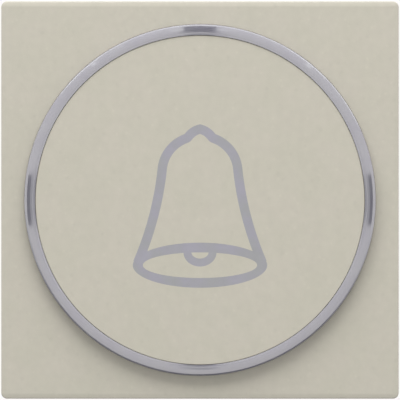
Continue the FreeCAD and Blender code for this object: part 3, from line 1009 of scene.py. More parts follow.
class Coil(NodeMachine):
    """Round-wire coil spring about the push axis, with close end turns.

    Attributes:
        STEPS_PER_TURN: Points of the wire's middle line in each turn.
        STEPS_ROUND: Faces round the wire.
    """

    STEPS_PER_TURN = 40
    STEPS_ROUND = 12

    def __init__(self) -> None:
        """Builds the tree."""
        sizes = ("Mean radius", "Wire radius", "Length", "Turns", "Start")
        kinds = {key: "NodeSocketFloat" for key in sizes}
        super().__init__("coil", {**kinds, "Finish": "NodeSocketMaterial"})
        get = self.source.outputs
        spiral = self.add("GeometryNodeCurveSpiral", {
            "Resolution": self.STEPS_PER_TURN, "Rotations": get["Turns"],
            "Start Radius": get["Mean radius"], "End Radius": get["Mean radius"], "Height": 0.0,
        })
        along = self.add("GeometryNodeSplineParameter").outputs["Factor"]
        eased = self.add("ShaderNodeMapRange", {"Value": along}, interpolation_type="SMOOTHSTEP")
        rise = self.add("ShaderNodeMath", {0: eased.outputs["Result"], 1: get["Length"]},
                        operation="MULTIPLY")
        lift = self.add("ShaderNodeCombineXYZ", {"Z": rise.outputs[0]})
        raised = self.add("GeometryNodeSetPosition", {
            "Geometry": spiral.outputs[0], "Offset": lift.outputs[0],
        })
        wire = self.add("GeometryNodeCurvePrimitiveCircle", {
            "Resolution": self.STEPS_ROUND, "Radius": get["Wire radius"],
        })
        solid = self.add("GeometryNodeCurveToMesh", {
            "Curve": raised.outputs[0], "Profile Curve": wire.outputs[0], "Fill Caps": True,
        })
        shift = self.add("ShaderNodeMath", {0: get["Start"], 1: -1.0}, operation="MULTIPLY")
        spot = self.add("ShaderNodeCombineXYZ", {"Y": shift.outputs[0]})
        placed = self.add("GeometryNodeTransform", {
            "Geometry": solid.outputs[0], "Translation": spot.outputs[0],
            "Rotation": (math.pi / 2, 0.0, 0.0),
        })
        self.end(placed.outputs[0])

    def wind(
        self, name: str, mean_radius: float, wire: float, span: Pair, turns: float,
        finish: bpy.types.Material,
    ) -> bpy.types.Object:
        """Winds a spring between two levels.

        Args:
            name: Name of the object.
            mean_radius: Radius of the wire's middle line.
            wire: Wire diameter.
            span: Its lower and upper level.
            turns: Number of turns.
            finish: Material of the wire.

        Returns:
            The spring.
        """
        start, end = span
        spring = self.run(name, [(0.0, 0.0, 0.0)], {
            "Mean radius": mean_radius * MM, "Wire radius": wire / 2 * MM,
            "Length": (end - start - wire) * MM, "Turns": turns,
            "Start": (start + wire / 2) * MM, "Finish": finish,
        })
        return smooth(spring, WIRE_ANGLE)


@dataclass
class FacePlate:
    """Square plate with a skirt, a round aperture and snap noses inside two walls.

    Attributes:
        half: Half of its side.
        height: Level of its face.
        corner: Radius of its upright corners.
        edge: Width of its softened front edge.
        slope: Fall of that edge towards the outside.
        turn: Radius with which it turns into the side.
        ease: Width over which its slope dies out into the face.
        edge_steps: Faces across the turn.
        wall: Thickness of the skirt.
        inner_corner: Radius of the skirt's inner corners.
        underside: Level of the face's back.
        aperture: Radius of the aperture.
        lip: Rounding of the aperture's edge and of the back rim.
        lip_steps: Faces across the rounding.
        hold: Width of the narrow faces that keep the shading of flats even.
        nose: Limits of the right snap noses along x.
        nose_levels: Where a nose starts, where it is at its full reach, and where it ends.
        nose_reach: How far it stands out of the wall.
        nose_root: How deep it goes into the wall.
    """

    half: float = 22.5
    height: float = 8.0
    corner: float = 0.65
    edge: float = 0.6
    slope: float = 11.0
    turn: float = 0.16
    ease: float = 0.15
    edge_steps: int = 8
    wall: float = 1.6
    inner_corner: float = 0.4
    underside: float = 6.0
    aperture: float = 19.9
    lip: float = 0.05
    lip_steps: int = 3
    hold: float = 0.03
    nose: Pair = (10.0, 14.0)
    nose_levels: Point = (1.8, 2.75, 3.2)
    nose_reach: float = 0.7
    nose_root: float = 0.8

    def square(self, half: float, radius: float, out: float) -> list[Point]:
        """Rounded square loop at a level."""
        return [(x, up, out) for x, up in rounded_square(half, max(radius, 0.02))]

    def circle(self, radius: float, out: float) -> list[Point]:
        """Circular loop whose points face those of the square loop."""
        angles = [math.atan2(up, x) for x, up in rounded_square(self.half, self.corner)]
        return [(radius * math.cos(a), radius * math.sin(a), out) for a in angles]

    def shoulder(self) -> list[Pair]:
        """Front edge from the side to the face.

        Returns:
            Points as (distance in from the side, distance below the face).
        """
        steep = math.radians(90 - self.slope)
        arc = [(self.turn * (1 - math.cos(a)), self.turn * (math.sin(steep) - math.sin(a)))
               for a in (steep * k / self.edge_steps for k in range(self.edge_steps + 1))]
        start, last = arc[-1][0], self.edge - self.ease
        fall = math.tan(math.radians(self.slope))
        foot = self.ease * fall / 2
        drop = foot + (last - start) * fall
        return [*((inset, low + drop) for inset, low in arc), (last, foot), (self.edge, 0.0)]

    def shell(self) -> Shape:
        """Plate and skirt.

        Returns:
            One closed loft.
        """
        lip, hold, inner = self.lip, self.hold, self.half - self.wall
        shoulder = self.shoulder()
        rim = [(lip, 0.0), (0.0, lip), (0.0, self.height - shoulder[0][1] - hold)]
        rim += [(inset, self.height - low) for inset, low in shoulder]
        sections = [self.square(self.half - inset, self.corner - inset, out) for inset, out in rim]
        sections += [
            self.square(self.half - self.edge - hold, hold, self.height),
            self.circle(self.aperture + lip + hold, self.height),
        ]
        for k in range(self.lip_steps + 1):
            a = math.pi / 2 * k / self.lip_steps
            radius = self.aperture + lip * (1 - math.sin(a))
            sections.append(self.circle(radius, self.height - lip * (1 - math.cos(a))))
        return loft([
            *sections,
            self.circle(self.aperture, self.underside + hold),
            self.circle(self.aperture, self.underside),
            self.square(inner, self.inner_corner, self.underside),
            self.square(inner, self.inner_corner, lip),
            self.square(inner + lip, self.inner_corner, 0.0),
        ])

    def snap(self) -> Shape:
        """Snap nose inside the upper wall, on the right.

        Returns:
            Its closed wedge.
        """
        inner = self.half - self.wall
        root, tip = inner + self.nose_root, inner - self.nose_reach
        low, full, high = self.nose_levels
        side = [(root, low), (inner, low), (tip, full), (tip, high), (root, high)]
        return prism(side, *self.nose, Plane.LEVEL).mapped(lambda a, b, c: (b, a, c))

    def build(self, wardrobe: Wardrobe) -> None:
        """Makes the plate and dresses it.

        Args:
            wardrobe: Source of the finishes.
        """
        upper = self.snap()
        lower = upper.mapped(lambda a, b, c: (a, -b, c))
        shape = self.shell().join(upper, upper.mirrored(), lower, lower.mirrored())
        piece = smooth(shape.build("plate_face"))
        wardrobe.dress(piece, CHAMPAGNE, Body.MODULE, ["face_plate"])


@dataclass
class LightRing:
    """Clear ring round the button, with a flange behind the plate and two legs to the lamps.

    Attributes:
        outer: Outer radius of the visible ring.
        inner: Inner radius.
        top: Level of its crest.
        bottom: Level of its back.
        flange: Outer radius of the flange.
        flange_top: Level of the flange's front.
        chamfer: Chamfer of the flange's back edge.
        crest: Radius at which the crest lies.
        crown: Radius of the crown's curve.
        inner_tilt: Slope of the crown at its inner edge.
        outer_tilt: Slope of the crown where the outer rounding starts.
        inner_drop: Height of the narrow face that ends the crown inside.
        crown_steps: Faces across the crown.
        edge_steps: Faces across the outer rounding.
        segments: Steps round the ring.
        leg_radius: Distance of a leg's middle from the axis.
        leg_half: Half of a leg's depth and width.
        leg_end: Level of its end.
        leg_root: How deep it goes into the ring.
        leg_angles: Directions of the legs.
        sharp: Edges above this angle are sharp.
    """

    outer: float = 19.88
    inner: float = 18.67
    top: float = 9.52
    bottom: float = 4.8
    flange: float = 20.55
    flange_top: float = 6.0
    chamfer: float = 0.1
    crest: float = 18.95
    crown: float = 1.6
    inner_tilt: float = 11.0
    outer_tilt: float = 30.0
    inner_drop: float = 0.04
    crown_steps: int = 14
    edge_steps: int = 10
    segments: int = 288
    leg_radius: float = 19.6
    leg_half: Pair = (0.7, 1.0)
    leg_end: float = -2.0
    leg_root: float = 0.6
    leg_angles: Pair = (45.0, 135.0)
    sharp: float = 40.0

    def profile(self) -> list[Pair]:
        """Cross-section of the ring.

        Returns:
            Points as (radius, out).
        """
        tilt = math.radians(self.outer_tilt)
        crown = corner_arc(self.crest, self.top - self.crown, self.crown,
                           90 - self.outer_tilt, 90 + self.inner_tilt, self.crown_steps)
        radius, out = crown[0]
        rounding = (self.outer - radius) / (1 - math.sin(tilt))
        middle = (self.outer - rounding, out - rounding * math.cos(tilt))
        edge = corner_arc(*middle, rounding, 0, 90 - self.outer_tilt, self.edge_steps)[:-1]
        return [
            (self.inner, self.bottom), (self.flange - self.chamfer, self.bottom),
            (self.flange, self.bottom + self.chamfer), (self.flange, self.flange_top),
            (self.outer, self.flange_top), *edge, *crown,
            (self.inner, crown[-1][1] - self.inner_drop),
        ]

    def leg(self) -> Shape:
        """Leg of the ring.

        Returns:
            One leg, drawn to the right of the axis.
        """
        deep, wide = self.leg_half
        return block((self.leg_radius - deep, self.leg_radius + deep), (-wide, wide),
                     (self.leg_end, self.bottom + self.leg_root))

    def build(self, wardrobe: Wardrobe) -> None:
        """Makes the ring and dresses it.

        Args:
            wardrobe: Source of the finishes.
        """
        ring = lathe(self.profile(), self.segments)
        legs = [self.leg().turned(angle) for angle in self.leg_angles]
        piece = smooth(ring.join(*legs).build("ring_clear"), self.sharp)
        wardrobe.dress(piece, CLEAR_LILAC, Body.MODULE, ["light_ring"])


@dataclass
class PushCap:
    """Round push cap with skirt, boss, peg, ribs and latch hooks, and the bell let into its face.

    Attributes:
        radius: Outer radius.
        top: Level of its face.
        rounding: Rounding of the front edge.
        rounding_steps: Faces across it.
        hold: Width of the narrow faces that keep the shading of flats even.
        inner: Inner radius of the skirt.
        fillet: Slant between the skirt and the face's back.
        underside: Level of the face's back.
        rim: Level of the skirt's rim.
        chamfer: Chamfer of the rim and of the boss.
        segments: Steps round the cap.
        root: How deep the inner parts go into the face.
        boss: Radius of the boss.
        boss_end: Level of its end.
        peg: Radius of the peg.
        peg_end: Level of its end.
        peg_point: Chamfer of its end.
        stub_segments: Steps round the boss and round the peg.
        rib: Inner end, half width and height of a rib.
        rib_root: How deep a rib goes into the skirt.
        hook: Distance of a hook's inner face from the axis.
        hook_size: Thickness of a hook, reach of its nose and half of its width.
        hook_nose: Where the nose starts to slant and where it ends, below the roof.
        roof: Level that the hooks catch under.
    """

    radius: float = 18.61
    top: float = 9.4
    rounding: float = 0.05
    rounding_steps: int = 8
    hold: float = 0.05
    inner: float = 17.3
    fillet: float = 0.4
    underside: float = 7.6
    rim: float = 3.0
    chamfer: float = 0.1
    segments: int = 288
    root: float = 0.5
    boss: float = 4.6
    boss_end: float = 6.83
    peg: float = 1.4
    peg_end: float = 2.5
    peg_point: float = 0.2
    stub_segments: tuple[int, int] = (64, 40)
    rib: Point = (7.51, 0.5, 1.2)
    rib_root: float = 0.3
    hook: float = 10.07
    hook_size: Point = (1.4, 2.2, 2.0)
    hook_nose: Pair = (0.4, 1.4)
    roof: float = 2.6

    def shell(self) -> Shape:
        """Face and skirt.

        Returns:
            The turned body.
        """
        edge, top = self.radius - self.rounding, self.top - self.rounding
        return lathe([
            (0.0, self.underside), (self.inner - self.fillet, self.underside),
            (self.inner, self.underside - self.fillet), (self.inner, self.rim),
            (self.radius - self.chamfer, self.rim), (self.radius, self.rim + self.chamfer),
            (self.radius, top - self.hold),
            *corner_arc(edge, top, self.rounding, 0, 90, self.rounding_steps),
            (edge - self.hold, self.top), (0.0, self.top),
        ], self.segments)

    def stub(self, radius: float, end: float, chamfer: float, segments: int) -> Shape:
        """Round stub under the middle of the face.

        Args:
            radius: Its radius.
            end: Level of its end.
            chamfer: Chamfer of its end.
            segments: Steps round it.

        Returns:
            The turned body.
        """
        root = self.underside + self.root
        return lathe([(0.0, end), (radius - chamfer, end), (radius, end + chamfer),
                      (radius, root), (0.0, root)], segments)

    def inner_parts(self) -> list[Shape]:
        """Boss, peg, ribs and hooks under the face.

        Returns:
            Their closed shapes.
        """
        root = self.underside + self.root
        inmost, half, height = self.rib
        rib = block((inmost, self.inner + self.rib_root), (-half, half),
                    (self.underside - height, root))
        thick, reach, wide = self.hook_size
        back, nose = self.hook + thick, self.hook + reach
        slant, end = (self.roof - drop for drop in self.hook_nose)
        side = [(self.hook, root), (back, root), (back, self.roof), (nose, self.roof),
                (nose, slant), (back, end), (self.hook, end)]
        hook = prism(side, -wide, wide, Plane.LEVEL)
        return [
            self.stub(self.boss, self.boss_end, self.chamfer, self.stub_segments[0]),
            self.stub(self.peg, self.peg_end, self.peg_point, self.stub_segments[1]),
            *[rib.turned(angle) for angle in (0, 90, 180, 270)],
            *[hook.turned(angle) for angle in (45, 135, 225, 315)],
        ]

    def build(self, wardrobe: Wardrobe) -> None:
        """Makes the cap, lets the bell in and dresses both.

        Args:
            wardrobe: Source of the finishes.
        """
        cutter = frame_copy("bell_symbol", "bell_cutter", join_flats=False)
        piece = carve(self.shell().build("cap_face"), cutter)
        merged(piece, Shape().join(*self.inner_parts()).build("cap_inside"))
        wardrobe.dress(smooth(piece), CHAMPAGNE, Body.BUTTON, ["button_cap"])
        wardrobe.dress_node("bell_symbol", SYMBOL)


@dataclass
class Mechanism:
    """Plunger, springs, stop pad and contact bridge.

    Attributes:
        spring_radius: Mean radius of the return spring.
        spring_wire: Its wire diameter.
        spring_span: Levels of its two ends.
        spring_turns: Number of its turns.
        travel: Travel of the button. Not used.
        small_radius: Mean radius of the contact spring.
        small_wire: Its wire diameter.
        small_span: Levels of its two ends.
        small_turns: Number of its turns.
        lag: Travel of the bridge against the plunger. Not used.
        tip_x: Distance of a contact rivet from the middle.
        tip_radius: Radius of its head.
        tip_height: Height of its head.
        tip_dome: Height of the dome on it.
        tip_steps: Faces from its edge to its top, and round it.
        moulded_edge: Rounding of the plunger's and the pad's edges.
        strip_edge: Rounding of the bridge's edges.
        fixed_level: Level that the fixed rivets sit on.
        moving_level: Level that the bridge's rivets hang from.
    """

    spring_radius: float = 5.906
    spring_wire: float = 0.6
    spring_span: Pair = (0.0, 7.6)
    spring_turns: float = 5.0
    travel: float = 2.0
    small_radius: float = 0.95
    small_wire: float = 0.3
    small_span: Pair = (-11.4, -8.4)
    small_turns: float = 4.0
    lag: float = 0.8
    tip_x: float = 7.4
    tip_radius: float = 1.1
    tip_height: float = 0.5
    tip_dome: float = 0.2
    tip_steps: tuple[int, int] = (6, 40)
    moulded_edge: float = 0.1
    strip_edge: float = 0.06
    fixed_level: float = -14.2
    moving_level: float = -12.0

    def rivet(self) -> Shape:
        """Contact rivet with a domed head.

        Returns:
            The rivet, pointing out of the wall from the origin.
        """
        rising, around = self.tip_steps
        arc = dome(self.tip_radius, self.tip_height - self.tip_dome, self.tip_dome, rising)
        return lathe([(0.0, 0.0), (self.tip_radius, 0.0), *arc, (0.0, self.tip_height)], around)

    def build(self, wardrobe: Wardrobe, coil: Coil, scatter: Scatter) -> None:
        """Makes the pieces and dresses them.

        Args:
            wardrobe: Source of the finishes.
            coil: Winds the springs.
            scatter: Places the rivets.
        """
        steel, silver = wardrobe.material(SPRING), wardrobe.material(SILVER)
        main = coil.wind("spring_return", self.spring_radius, self.spring_wire, self.spring_span,
                         self.spring_turns, steel)
        wardrobe.dress(main, SPRING, Body.MODULE, ["return_spring"])
        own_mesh(main)
        small = coil.wind("spring_contact", self.small_radius, self.small_wire, self.small_span,
                          self.small_turns, steel)
        wardrobe.dress(small, SPRING, Body.BUTTON, ["contact_spring"])
        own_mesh(small)
        for node, finish, slot, body, width in (
            ("plunger", PLUNGER, "plunger_plastic", Body.BUTTON, self.moulded_edge),
            ("bridge_bar", COPPER, "copper_alloy", Body.BRIDGE, self.strip_edge),
            ("stop_pad", RUBBER, "pad_rubber", Body.MODULE, self.moulded_edge),
        ):
            piece = softened(frame_copy(node, node + "_soft"), width)
            wardrobe.dress(piece, finish, body, [node])
        outward = self.rivet()
        inward = outward.mapped(lambda a, b, c: (a, -b, -c))
        for name, shape, body, level, node in (
            ("tips_fixed", outward, Body.MODULE, self.fixed_level, "fixed_tips"),
            ("tips_moving", inward, Body.BRIDGE, self.moving_level, "bridge_tips"),
        ):
            places = [(side * self.tip_x, 0.0, level) for side in (-1, 1)]
            rivet = smooth(shape.build("rivet"), TURNED_ANGLE)
            tips = scatter.place(name, rivet, places, silver)
            wardrobe.dress(tips, SILVER, body, [node])


@dataclass
class Clamp:
    """Leaf spring that hooks on the busbar, runs down the outer wall and ends in two tongues.

    Attributes:
        thickness: Thickness of the leaf.
        hook: Start of the hook as (x, out) on the middle line.
        leg: Distance of the leg from the middle.
        corner: Bend radius of the hook.
        corner_steps: Chords of that bend.
        split: Level where the moving part starts.
        bend: Bend radius at the bottom.
        bend_steps: Chords of that bend.
        bottom: Level of the bottom bend's centre.
        tip: End of the tongues as (x, out).
        half: Half of the width.
        slot: Half of the slot between the tongues.
        slot_end: Distance of the slot's end from the middle.
        still: Distance beyond which the leaf keeps still. Not used.
        follows: Distance below which the tongues follow the release piece. Not used.
        edge: Rounding of its edges.
        edge_angle: Edges above this angle are rounded.
    """

    thickness: float = 0.4
    hook: Pair = (10.8, -3.4)
    leg: float = 17.28
    corner: float = 0.6
    corner_steps: int = 6
    split: float = -14.0
    bend: float = 0.8
    bend_steps: int = 14
    bottom: float = -16.36
    tip: Pair = (11.1, -8.6)
    half: float = 7.6
    slot: float = 2.9
    slot_end: float = 15.6
    still: float = 17.0
    follows: float = 15.7
    edge: float = 0.05
    edge_angle: float = 50.0

    def sheet(self, path: Sequence[Pair], columns: Sequence[tuple[float, float, int]]) -> Shape:
        """Sheet of even thickness along a path.

        Args:
            path: Middle line as (x, out).
            columns: Strips of the width as (from, to, number of path points that it reaches).

        Returns:
            The closed sheet.
        """
        sides: list[tuple[Pair, Pair]] = []
        for k, (x, out) in enumerate(path):
            before, after = path[max(k - 1, 0)], path[min(k + 1, len(path) - 1)]
            dx, dy = after[0] - before[0], after[1] - before[1]
            length = math.hypot(dx, dy)
            nx, ny = -dy / length * self.thickness / 2, dx / length * self.thickness / 2
            sides.append(((x + nx, out + ny), (x - nx, out - ny)))
        shape = Shape()

        def quad(*corners: tuple[Pair, float]) -> None:
            """Adds one face from corners as ((x, out), up)."""
            start = len(shape.vertices)
            shape.vertices += [(x, up, out) for (x, out), up in corners]
            shape.faces.append(tuple(range(start, start + 4)))

        for c, (low, high, reach) in enumerate(columns):
            for k in range(reach - 1):
                (a, b), (d, e) = sides[k], sides[k + 1]
                for one, two in ((a, d), (b, e)):
                    quad((one, low), (two, low), (two, high), (one, high))
                for level, other in ((low, c - 1), (high, c + 1)):
                    if not 0 <= other < len(columns) or k >= columns[other][2] - 1:
                        quad((a, level), (d, level), (e, level), (b, level))
            for a, b in (sides[0], sides[reach - 1]):
                quad((a, low), (a, high), (b, high), (b, low))
        return shape

    def fixed_part(self) -> Shape:
        """Hook and upper leg.

        Returns:
            Their closed sheet.
        """
        bend = corner_arc(self.leg - self.corner, self.hook[1] - self.corner, self.corner,
                          90, 0, self.corner_steps)
        path = [self.hook, *bend, (self.leg, self.split)]
        return self.sheet(path, [(-self.half, self.half, len(path))])

    def moving_part(self) -> Shape:
        """Lower leg, bottom bend and tongues.

        Returns:
            Their closed sheet.
        """
        centre = (self.leg - self.bend, self.bottom)
        across, up = centre[0] - self.tip[0], self.tip[1] - centre[1]
        lean = math.degrees(math.atan2(across, up) - math.asin(self.bend / math.hypot(across, up)))
        curve = corner_arc(*centre, self.bend, 0, -180 + lean, self.bend_steps)
        x, out = curve[-1]
        root = (self.slot_end - x) / (self.tip[0] - x)
        points = [(x + (self.tip[0] - x) * t, out + (self.tip[1] - out) * t)
                  for t in (root, (1 + root) / 2, 1.0)]
        lead = [(self.leg, self.split), (self.leg, (self.split + self.bottom) / 2)]
        path = [*lead, *curve, *points]
        return self.sheet(path, [
            (-self.half, -self.slot, len(path)), (-self.slot, self.slot, len(path) - 2),
            (self.slot, self.half, len(path)),
        ])

    def build(self, wardrobe: Wardrobe, side: str) -> None:
        """Makes the clamp of one side in a fixed and a moving piece.

        Args:
            wardrobe: Source of the finishes.
            side: "right" or "left".
        """
        sign = 1.0 if side == "right" else -1.0
        for part, shape in (("fixed", self.fixed_part()), ("moving", self.moving_part())):
            placed = shape if sign > 0 else shape.mirrored()
            piece = softened(placed.build(f"clamp_{side}_{part}"), self.edge, self.edge_angle)
            piece.data.materials.append(wardrobe.material(SPRING))
            if part == "fixed":
                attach(piece, Body.MODULE.value)
            else:
                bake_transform(piece)
            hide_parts(f"clamp_{side}")
            LOG.info("%s: %d faces", piece.name, len(piece.data.polygons))


@dataclass
class Terminals:
    """Busbars, clamp leaves and release pieces on both sides.

    Attributes:
        strip_edge: Rounding of the busbars' edges.
        strip_angle: Edges above this angle are rounded.
        release_edge: Rounding of the release pieces' edges.
        slot_width: Width of the tool slot in a release piece's end.
        slot_half: Half of its length.
        slot_depth: Its depth.
        end: Level of the release piece's end.
        middle: Distance of its middle from the part's middle.
    """

    strip_edge: float = 0.06
    strip_angle: float = 60.0
    release_edge: float = 0.12
    slot_width: float = 0.6
    slot_half: float = 3.0
    slot_depth: float = 0.5
    end: float = -22.8
    middle: float = 15.0

    def build(self, wardrobe: Wardrobe) -> None:
        """Makes the pieces of both sides and dresses them.

        Args:
            wardrobe: Source of the finishes.
        """
        for side, sign, body in (("right", 1, Body.RIGHT_RELEASE), ("left", -1, Body.LEFT_RELEASE)):
            bar, release = f"busbar_{side}", f"release_{side}"
            piece = softened(frame_copy(bar, bar + "_soft"), self.strip_edge, self.strip_angle)
            wardrobe.dress(piece, COPPER, Body.MODULE, [bar])
            x, half = sign * self.middle, self.slot_width / 2
            slot = block((x - half, x + half), (-self.slot_half, self.slot_half),
                         (self.end - BEYOND, self.end + self.slot_depth))
            push = carve(frame_copy(release, release + "_soft"), slot.build("slot"))
            wardrobe.dress(softened(push, self.release_edge), RELEASE, body,
                           [release])
            Clamp().build(wardrobe, side)


@dataclass
class Screws:
    """Four self-tapping screws with cylindrical heads and cross recesses.

    Attributes:
        place: Distance of a screw from the middle, across and up.
        seat: Level that the heads rest on.
        head: Radius and height of the head.
        head_round: Rounding of its top edge.
        head_edge: Chamfer of its lower edge.
        head_steps: Faces across the rounding, and round the head.
        shank: Outer radius and length of the thread.
        core: Core radius of the thread.
        pitch: Pitch of the thread.
        point: Radius of the blunt point as a share of the core, and how fast it widens.
        around: Steps round the thread.
        per_turn: Steps along it in each turn.
        recess: Width, length and depth of the cross recess.
    """

    place: Pair = (16.825, 15.7)
    seat: float = 0.6
    head: Pair = (1.75, 1.45)
    head_round: float = 0.25
    head_edge: float = 0.08
    head_steps: tuple[int, int] = (5, 48)
    shank: Pair = (0.9, 8.4)
    core: float = 0.62
    pitch: float = 0.8
    point: Pair = (0.7, 0.6)
    around: int = 28
    per_turn: int = 6
    recess: Point = (0.45, 2.0, 0.7)

    def turn(self, depth: float) -> list[Point]:
        """One loop round the threaded shank.

        Args:
            depth: Distance of the loop below the head.

        Returns:
            Its points.
        """
        radius, length = self.shank
        limit = min(radius, self.core * self.point[0] + (length - depth) * self.point[1])
        loop = []
        for j in range(self.around):
            phase = (depth / self.pitch + j / self.around) % 1.0
            ridge = max(0.0, 1 - abs(phase - 0.5) * 4)
            r = min(limit, self.core + (radius - self.core) * ridge)
            a = 2 * math.pi * j / self.around
            loop.append((r * math.cos(a), r * math.sin(a), -depth))
        return loop

    def thread(self) -> Shape:
        """Threaded shank with a blunt point.

        Returns:
            The closed shank below the origin.
        """
        length = self.shank[1]
        steps = round(length / self.pitch * self.per_turn)
        loops = [self.turn(length * (1 - k / steps)) for k in range(steps + 1)]
        shape = Shape([(0.0, 0.0, -length)]).join(loft(loops, closed=False))
        last = 1 + steps * self.around
        shape.faces += [(0, 1 + (j + 1) % self.around, 1 + j) for j in range(self.around)]
        shape.faces.append(tuple(range(last, last + self.around)))
        return shape

    def pattern(self) -> bpy.types.Object:
        """One screw whose seat is at the origin.

        Returns:
            The screw's object.
        """
        radius, height = self.head
        edge, top, (across, around) = self.head_edge, self.head_round, self.head_steps
        arc = corner_arc(radius - top, height - top, top, 0, 90, across)
        head = lathe([(0.0, 0.0), (radius - edge, 0.0), (radius, edge), *arc, (0.0, height)],
                     around)
        piece = head.build("head")
        width, length, depth = self.recess
        arm = block((-length / 2, length / 2), (-width / 2, width / 2),
                    (height - depth, height + BEYOND))
        for angle in (0, 90):
            carve(piece, arm.turned(angle).build("arm"))
        return smooth(merged(piece, self.thread().build("thread")))

    def build(self, wardrobe: Wardrobe, scatter: Scatter) -> None:
        """Makes the four screws as one piece.

        Args:
            wardrobe: Source of the finishes.
            scatter: Places the screws.
        """
        x, up = self.place
        places = [(sx * x, sz * up, self.seat) for sx in (-1, 1) for sz in (-1, 1)]
        piece = scatter.place("screws", self.pattern(), places, wardrobe.material(SCREW))
        wardrobe.dress(piece, SCREW, Body.MODULE, ["housing_screws"])


@dataclass
class RearModule:
    """Carrier and housing.

    Attributes:
        carrier_edge: Rounding of the carrier's edges.
        housing_edge: Rounding of the housing's edges.
        back: Level of the housing's back.
        panel: Sunk panel round one terminal, as (x from, x to, half height, depth).
        panel_corner: Radius of its corners.
        corner_steps: Faces across a corner.
        gauge: Groove that shows the strip length, as (half width, length, depth).
        gauge_start: Distance of the groove from the back.
        entry: Distance of a wire entry's middle from the two middle planes.
        entry_reach: Half of the square round an entry in which edges stay crisp.
        entry_depth: How far behind the rim such edges start.
        top: Height of the upper side.
        pin_radius: Radius of an ejector mark.
        pin_depth: Its depth.
        pin_segments: Steps round it.
        pin_places: Middles of the marks.
    """

    carrier_edge: float = 0.1
    housing_edge: float = 0.1
    back: float = -22.0
    panel: tuple[float, float, float, float] = (9.6, 17.3, 9.2, 0.35)
    panel_corner: float = 0.8
    corner_steps: int = 5
    gauge: Point = (0.9, 11.0, 0.4)
    gauge_start: float = 1.5
    entry: Pair = (12.3, 5.2)
    entry_reach: float = 1.95
    entry_depth: float = 16.0
    top: float = 17.55
    pin_radius: float = 1.5
    pin_depth: float = 0.08
    pin_segments: int = 40
    pin_places: tuple[Pair, ...] = ((6.0, 12.5), (-6.0, 12.5), (6.0, -12.5), (-6.0, -12.5))

    def in_entry(self, place: Vector) -> bool:
        """Tells whether a place lies in one of the four wire entries.

        Args:
            place: Place in metres.

        Returns:
            Whether it does, so that edges there stay crisp.
        """
        x, up = self.entry
        return (place.y / MM > self.entry_depth
                and abs(abs(place.x) / MM - x) < self.entry_reach
                and abs(abs(place.z) / MM - up) < self.entry_reach)

    def cutters(self, sign: int) -> tuple[Shape, Shape]:
        """Sunk panel and strip gauge of one side.

        Args:
            sign: 1 for the right panel and the upper gauge, -1 for the others.

        Returns:
            Closed shapes that are cut out of the housing.
        """
        low, high, half, depth = self.panel
        middle, reach, corner = sign * (low + high) / 2, (high - low) / 2, self.panel_corner
        outline = [
            point for sx, sz, start in ((1, 1, 0), (-1, 1, 90), (-1, -1, 180), (1, -1, 270))
            for point in corner_arc(middle + sx * (reach - corner), sz * (half - corner), corner,
                                    start, start + 90, self.corner_steps)
        ]
        panel = prism(outline, self.back - BEYOND, self.back + depth)
        wide, length, deep = self.gauge
        start = self.back + self.gauge_start
        ends = sorted((sign * (self.top - deep), sign * (self.top + BEYOND)))
        return panel, block((-wide, wide), (ends[0], ends[1]), (start, start + length))

    def housing(self) -> bpy.types.Object:
        """Housing with its sunk panels, moulding marks and strip gauges.

        Returns:
            The finished piece.
        """
        piece = frame_copy("rear_housing", "housing_block")
        front, deep, radius = self.back - BEYOND, self.back + self.pin_depth, self.pin_radius
        pin = lathe([(0.0, front), (radius, front), (radius, deep), (0.0, deep)],
                    self.pin_segments)
        panels, gauges = zip(*(self.cutters(sign) for sign in (-1, 1)))
        for cutter in (*panels, *(pin.moved(x, up) for x, up in self.pin_places), *gauges):
            carve(piece, cutter.build("cutter"))
        return softened(piece, self.housing_edge, keep=self.in_entry)

    def build(self, wardrobe: Wardrobe) -> None:
        """Makes the pieces and dresses them.

        Args:
            wardrobe: Source of the finishes.
        """
        carrier = softened(frame_copy("carrier", "carrier_frame"), self.carrier_edge)
        wardrobe.dress(carrier, CARRIER, Body.MODULE, ["carrier"])
        wardrobe.dress(self.housing(), HOUSING, Body.MODULE, ["rear_housing"])


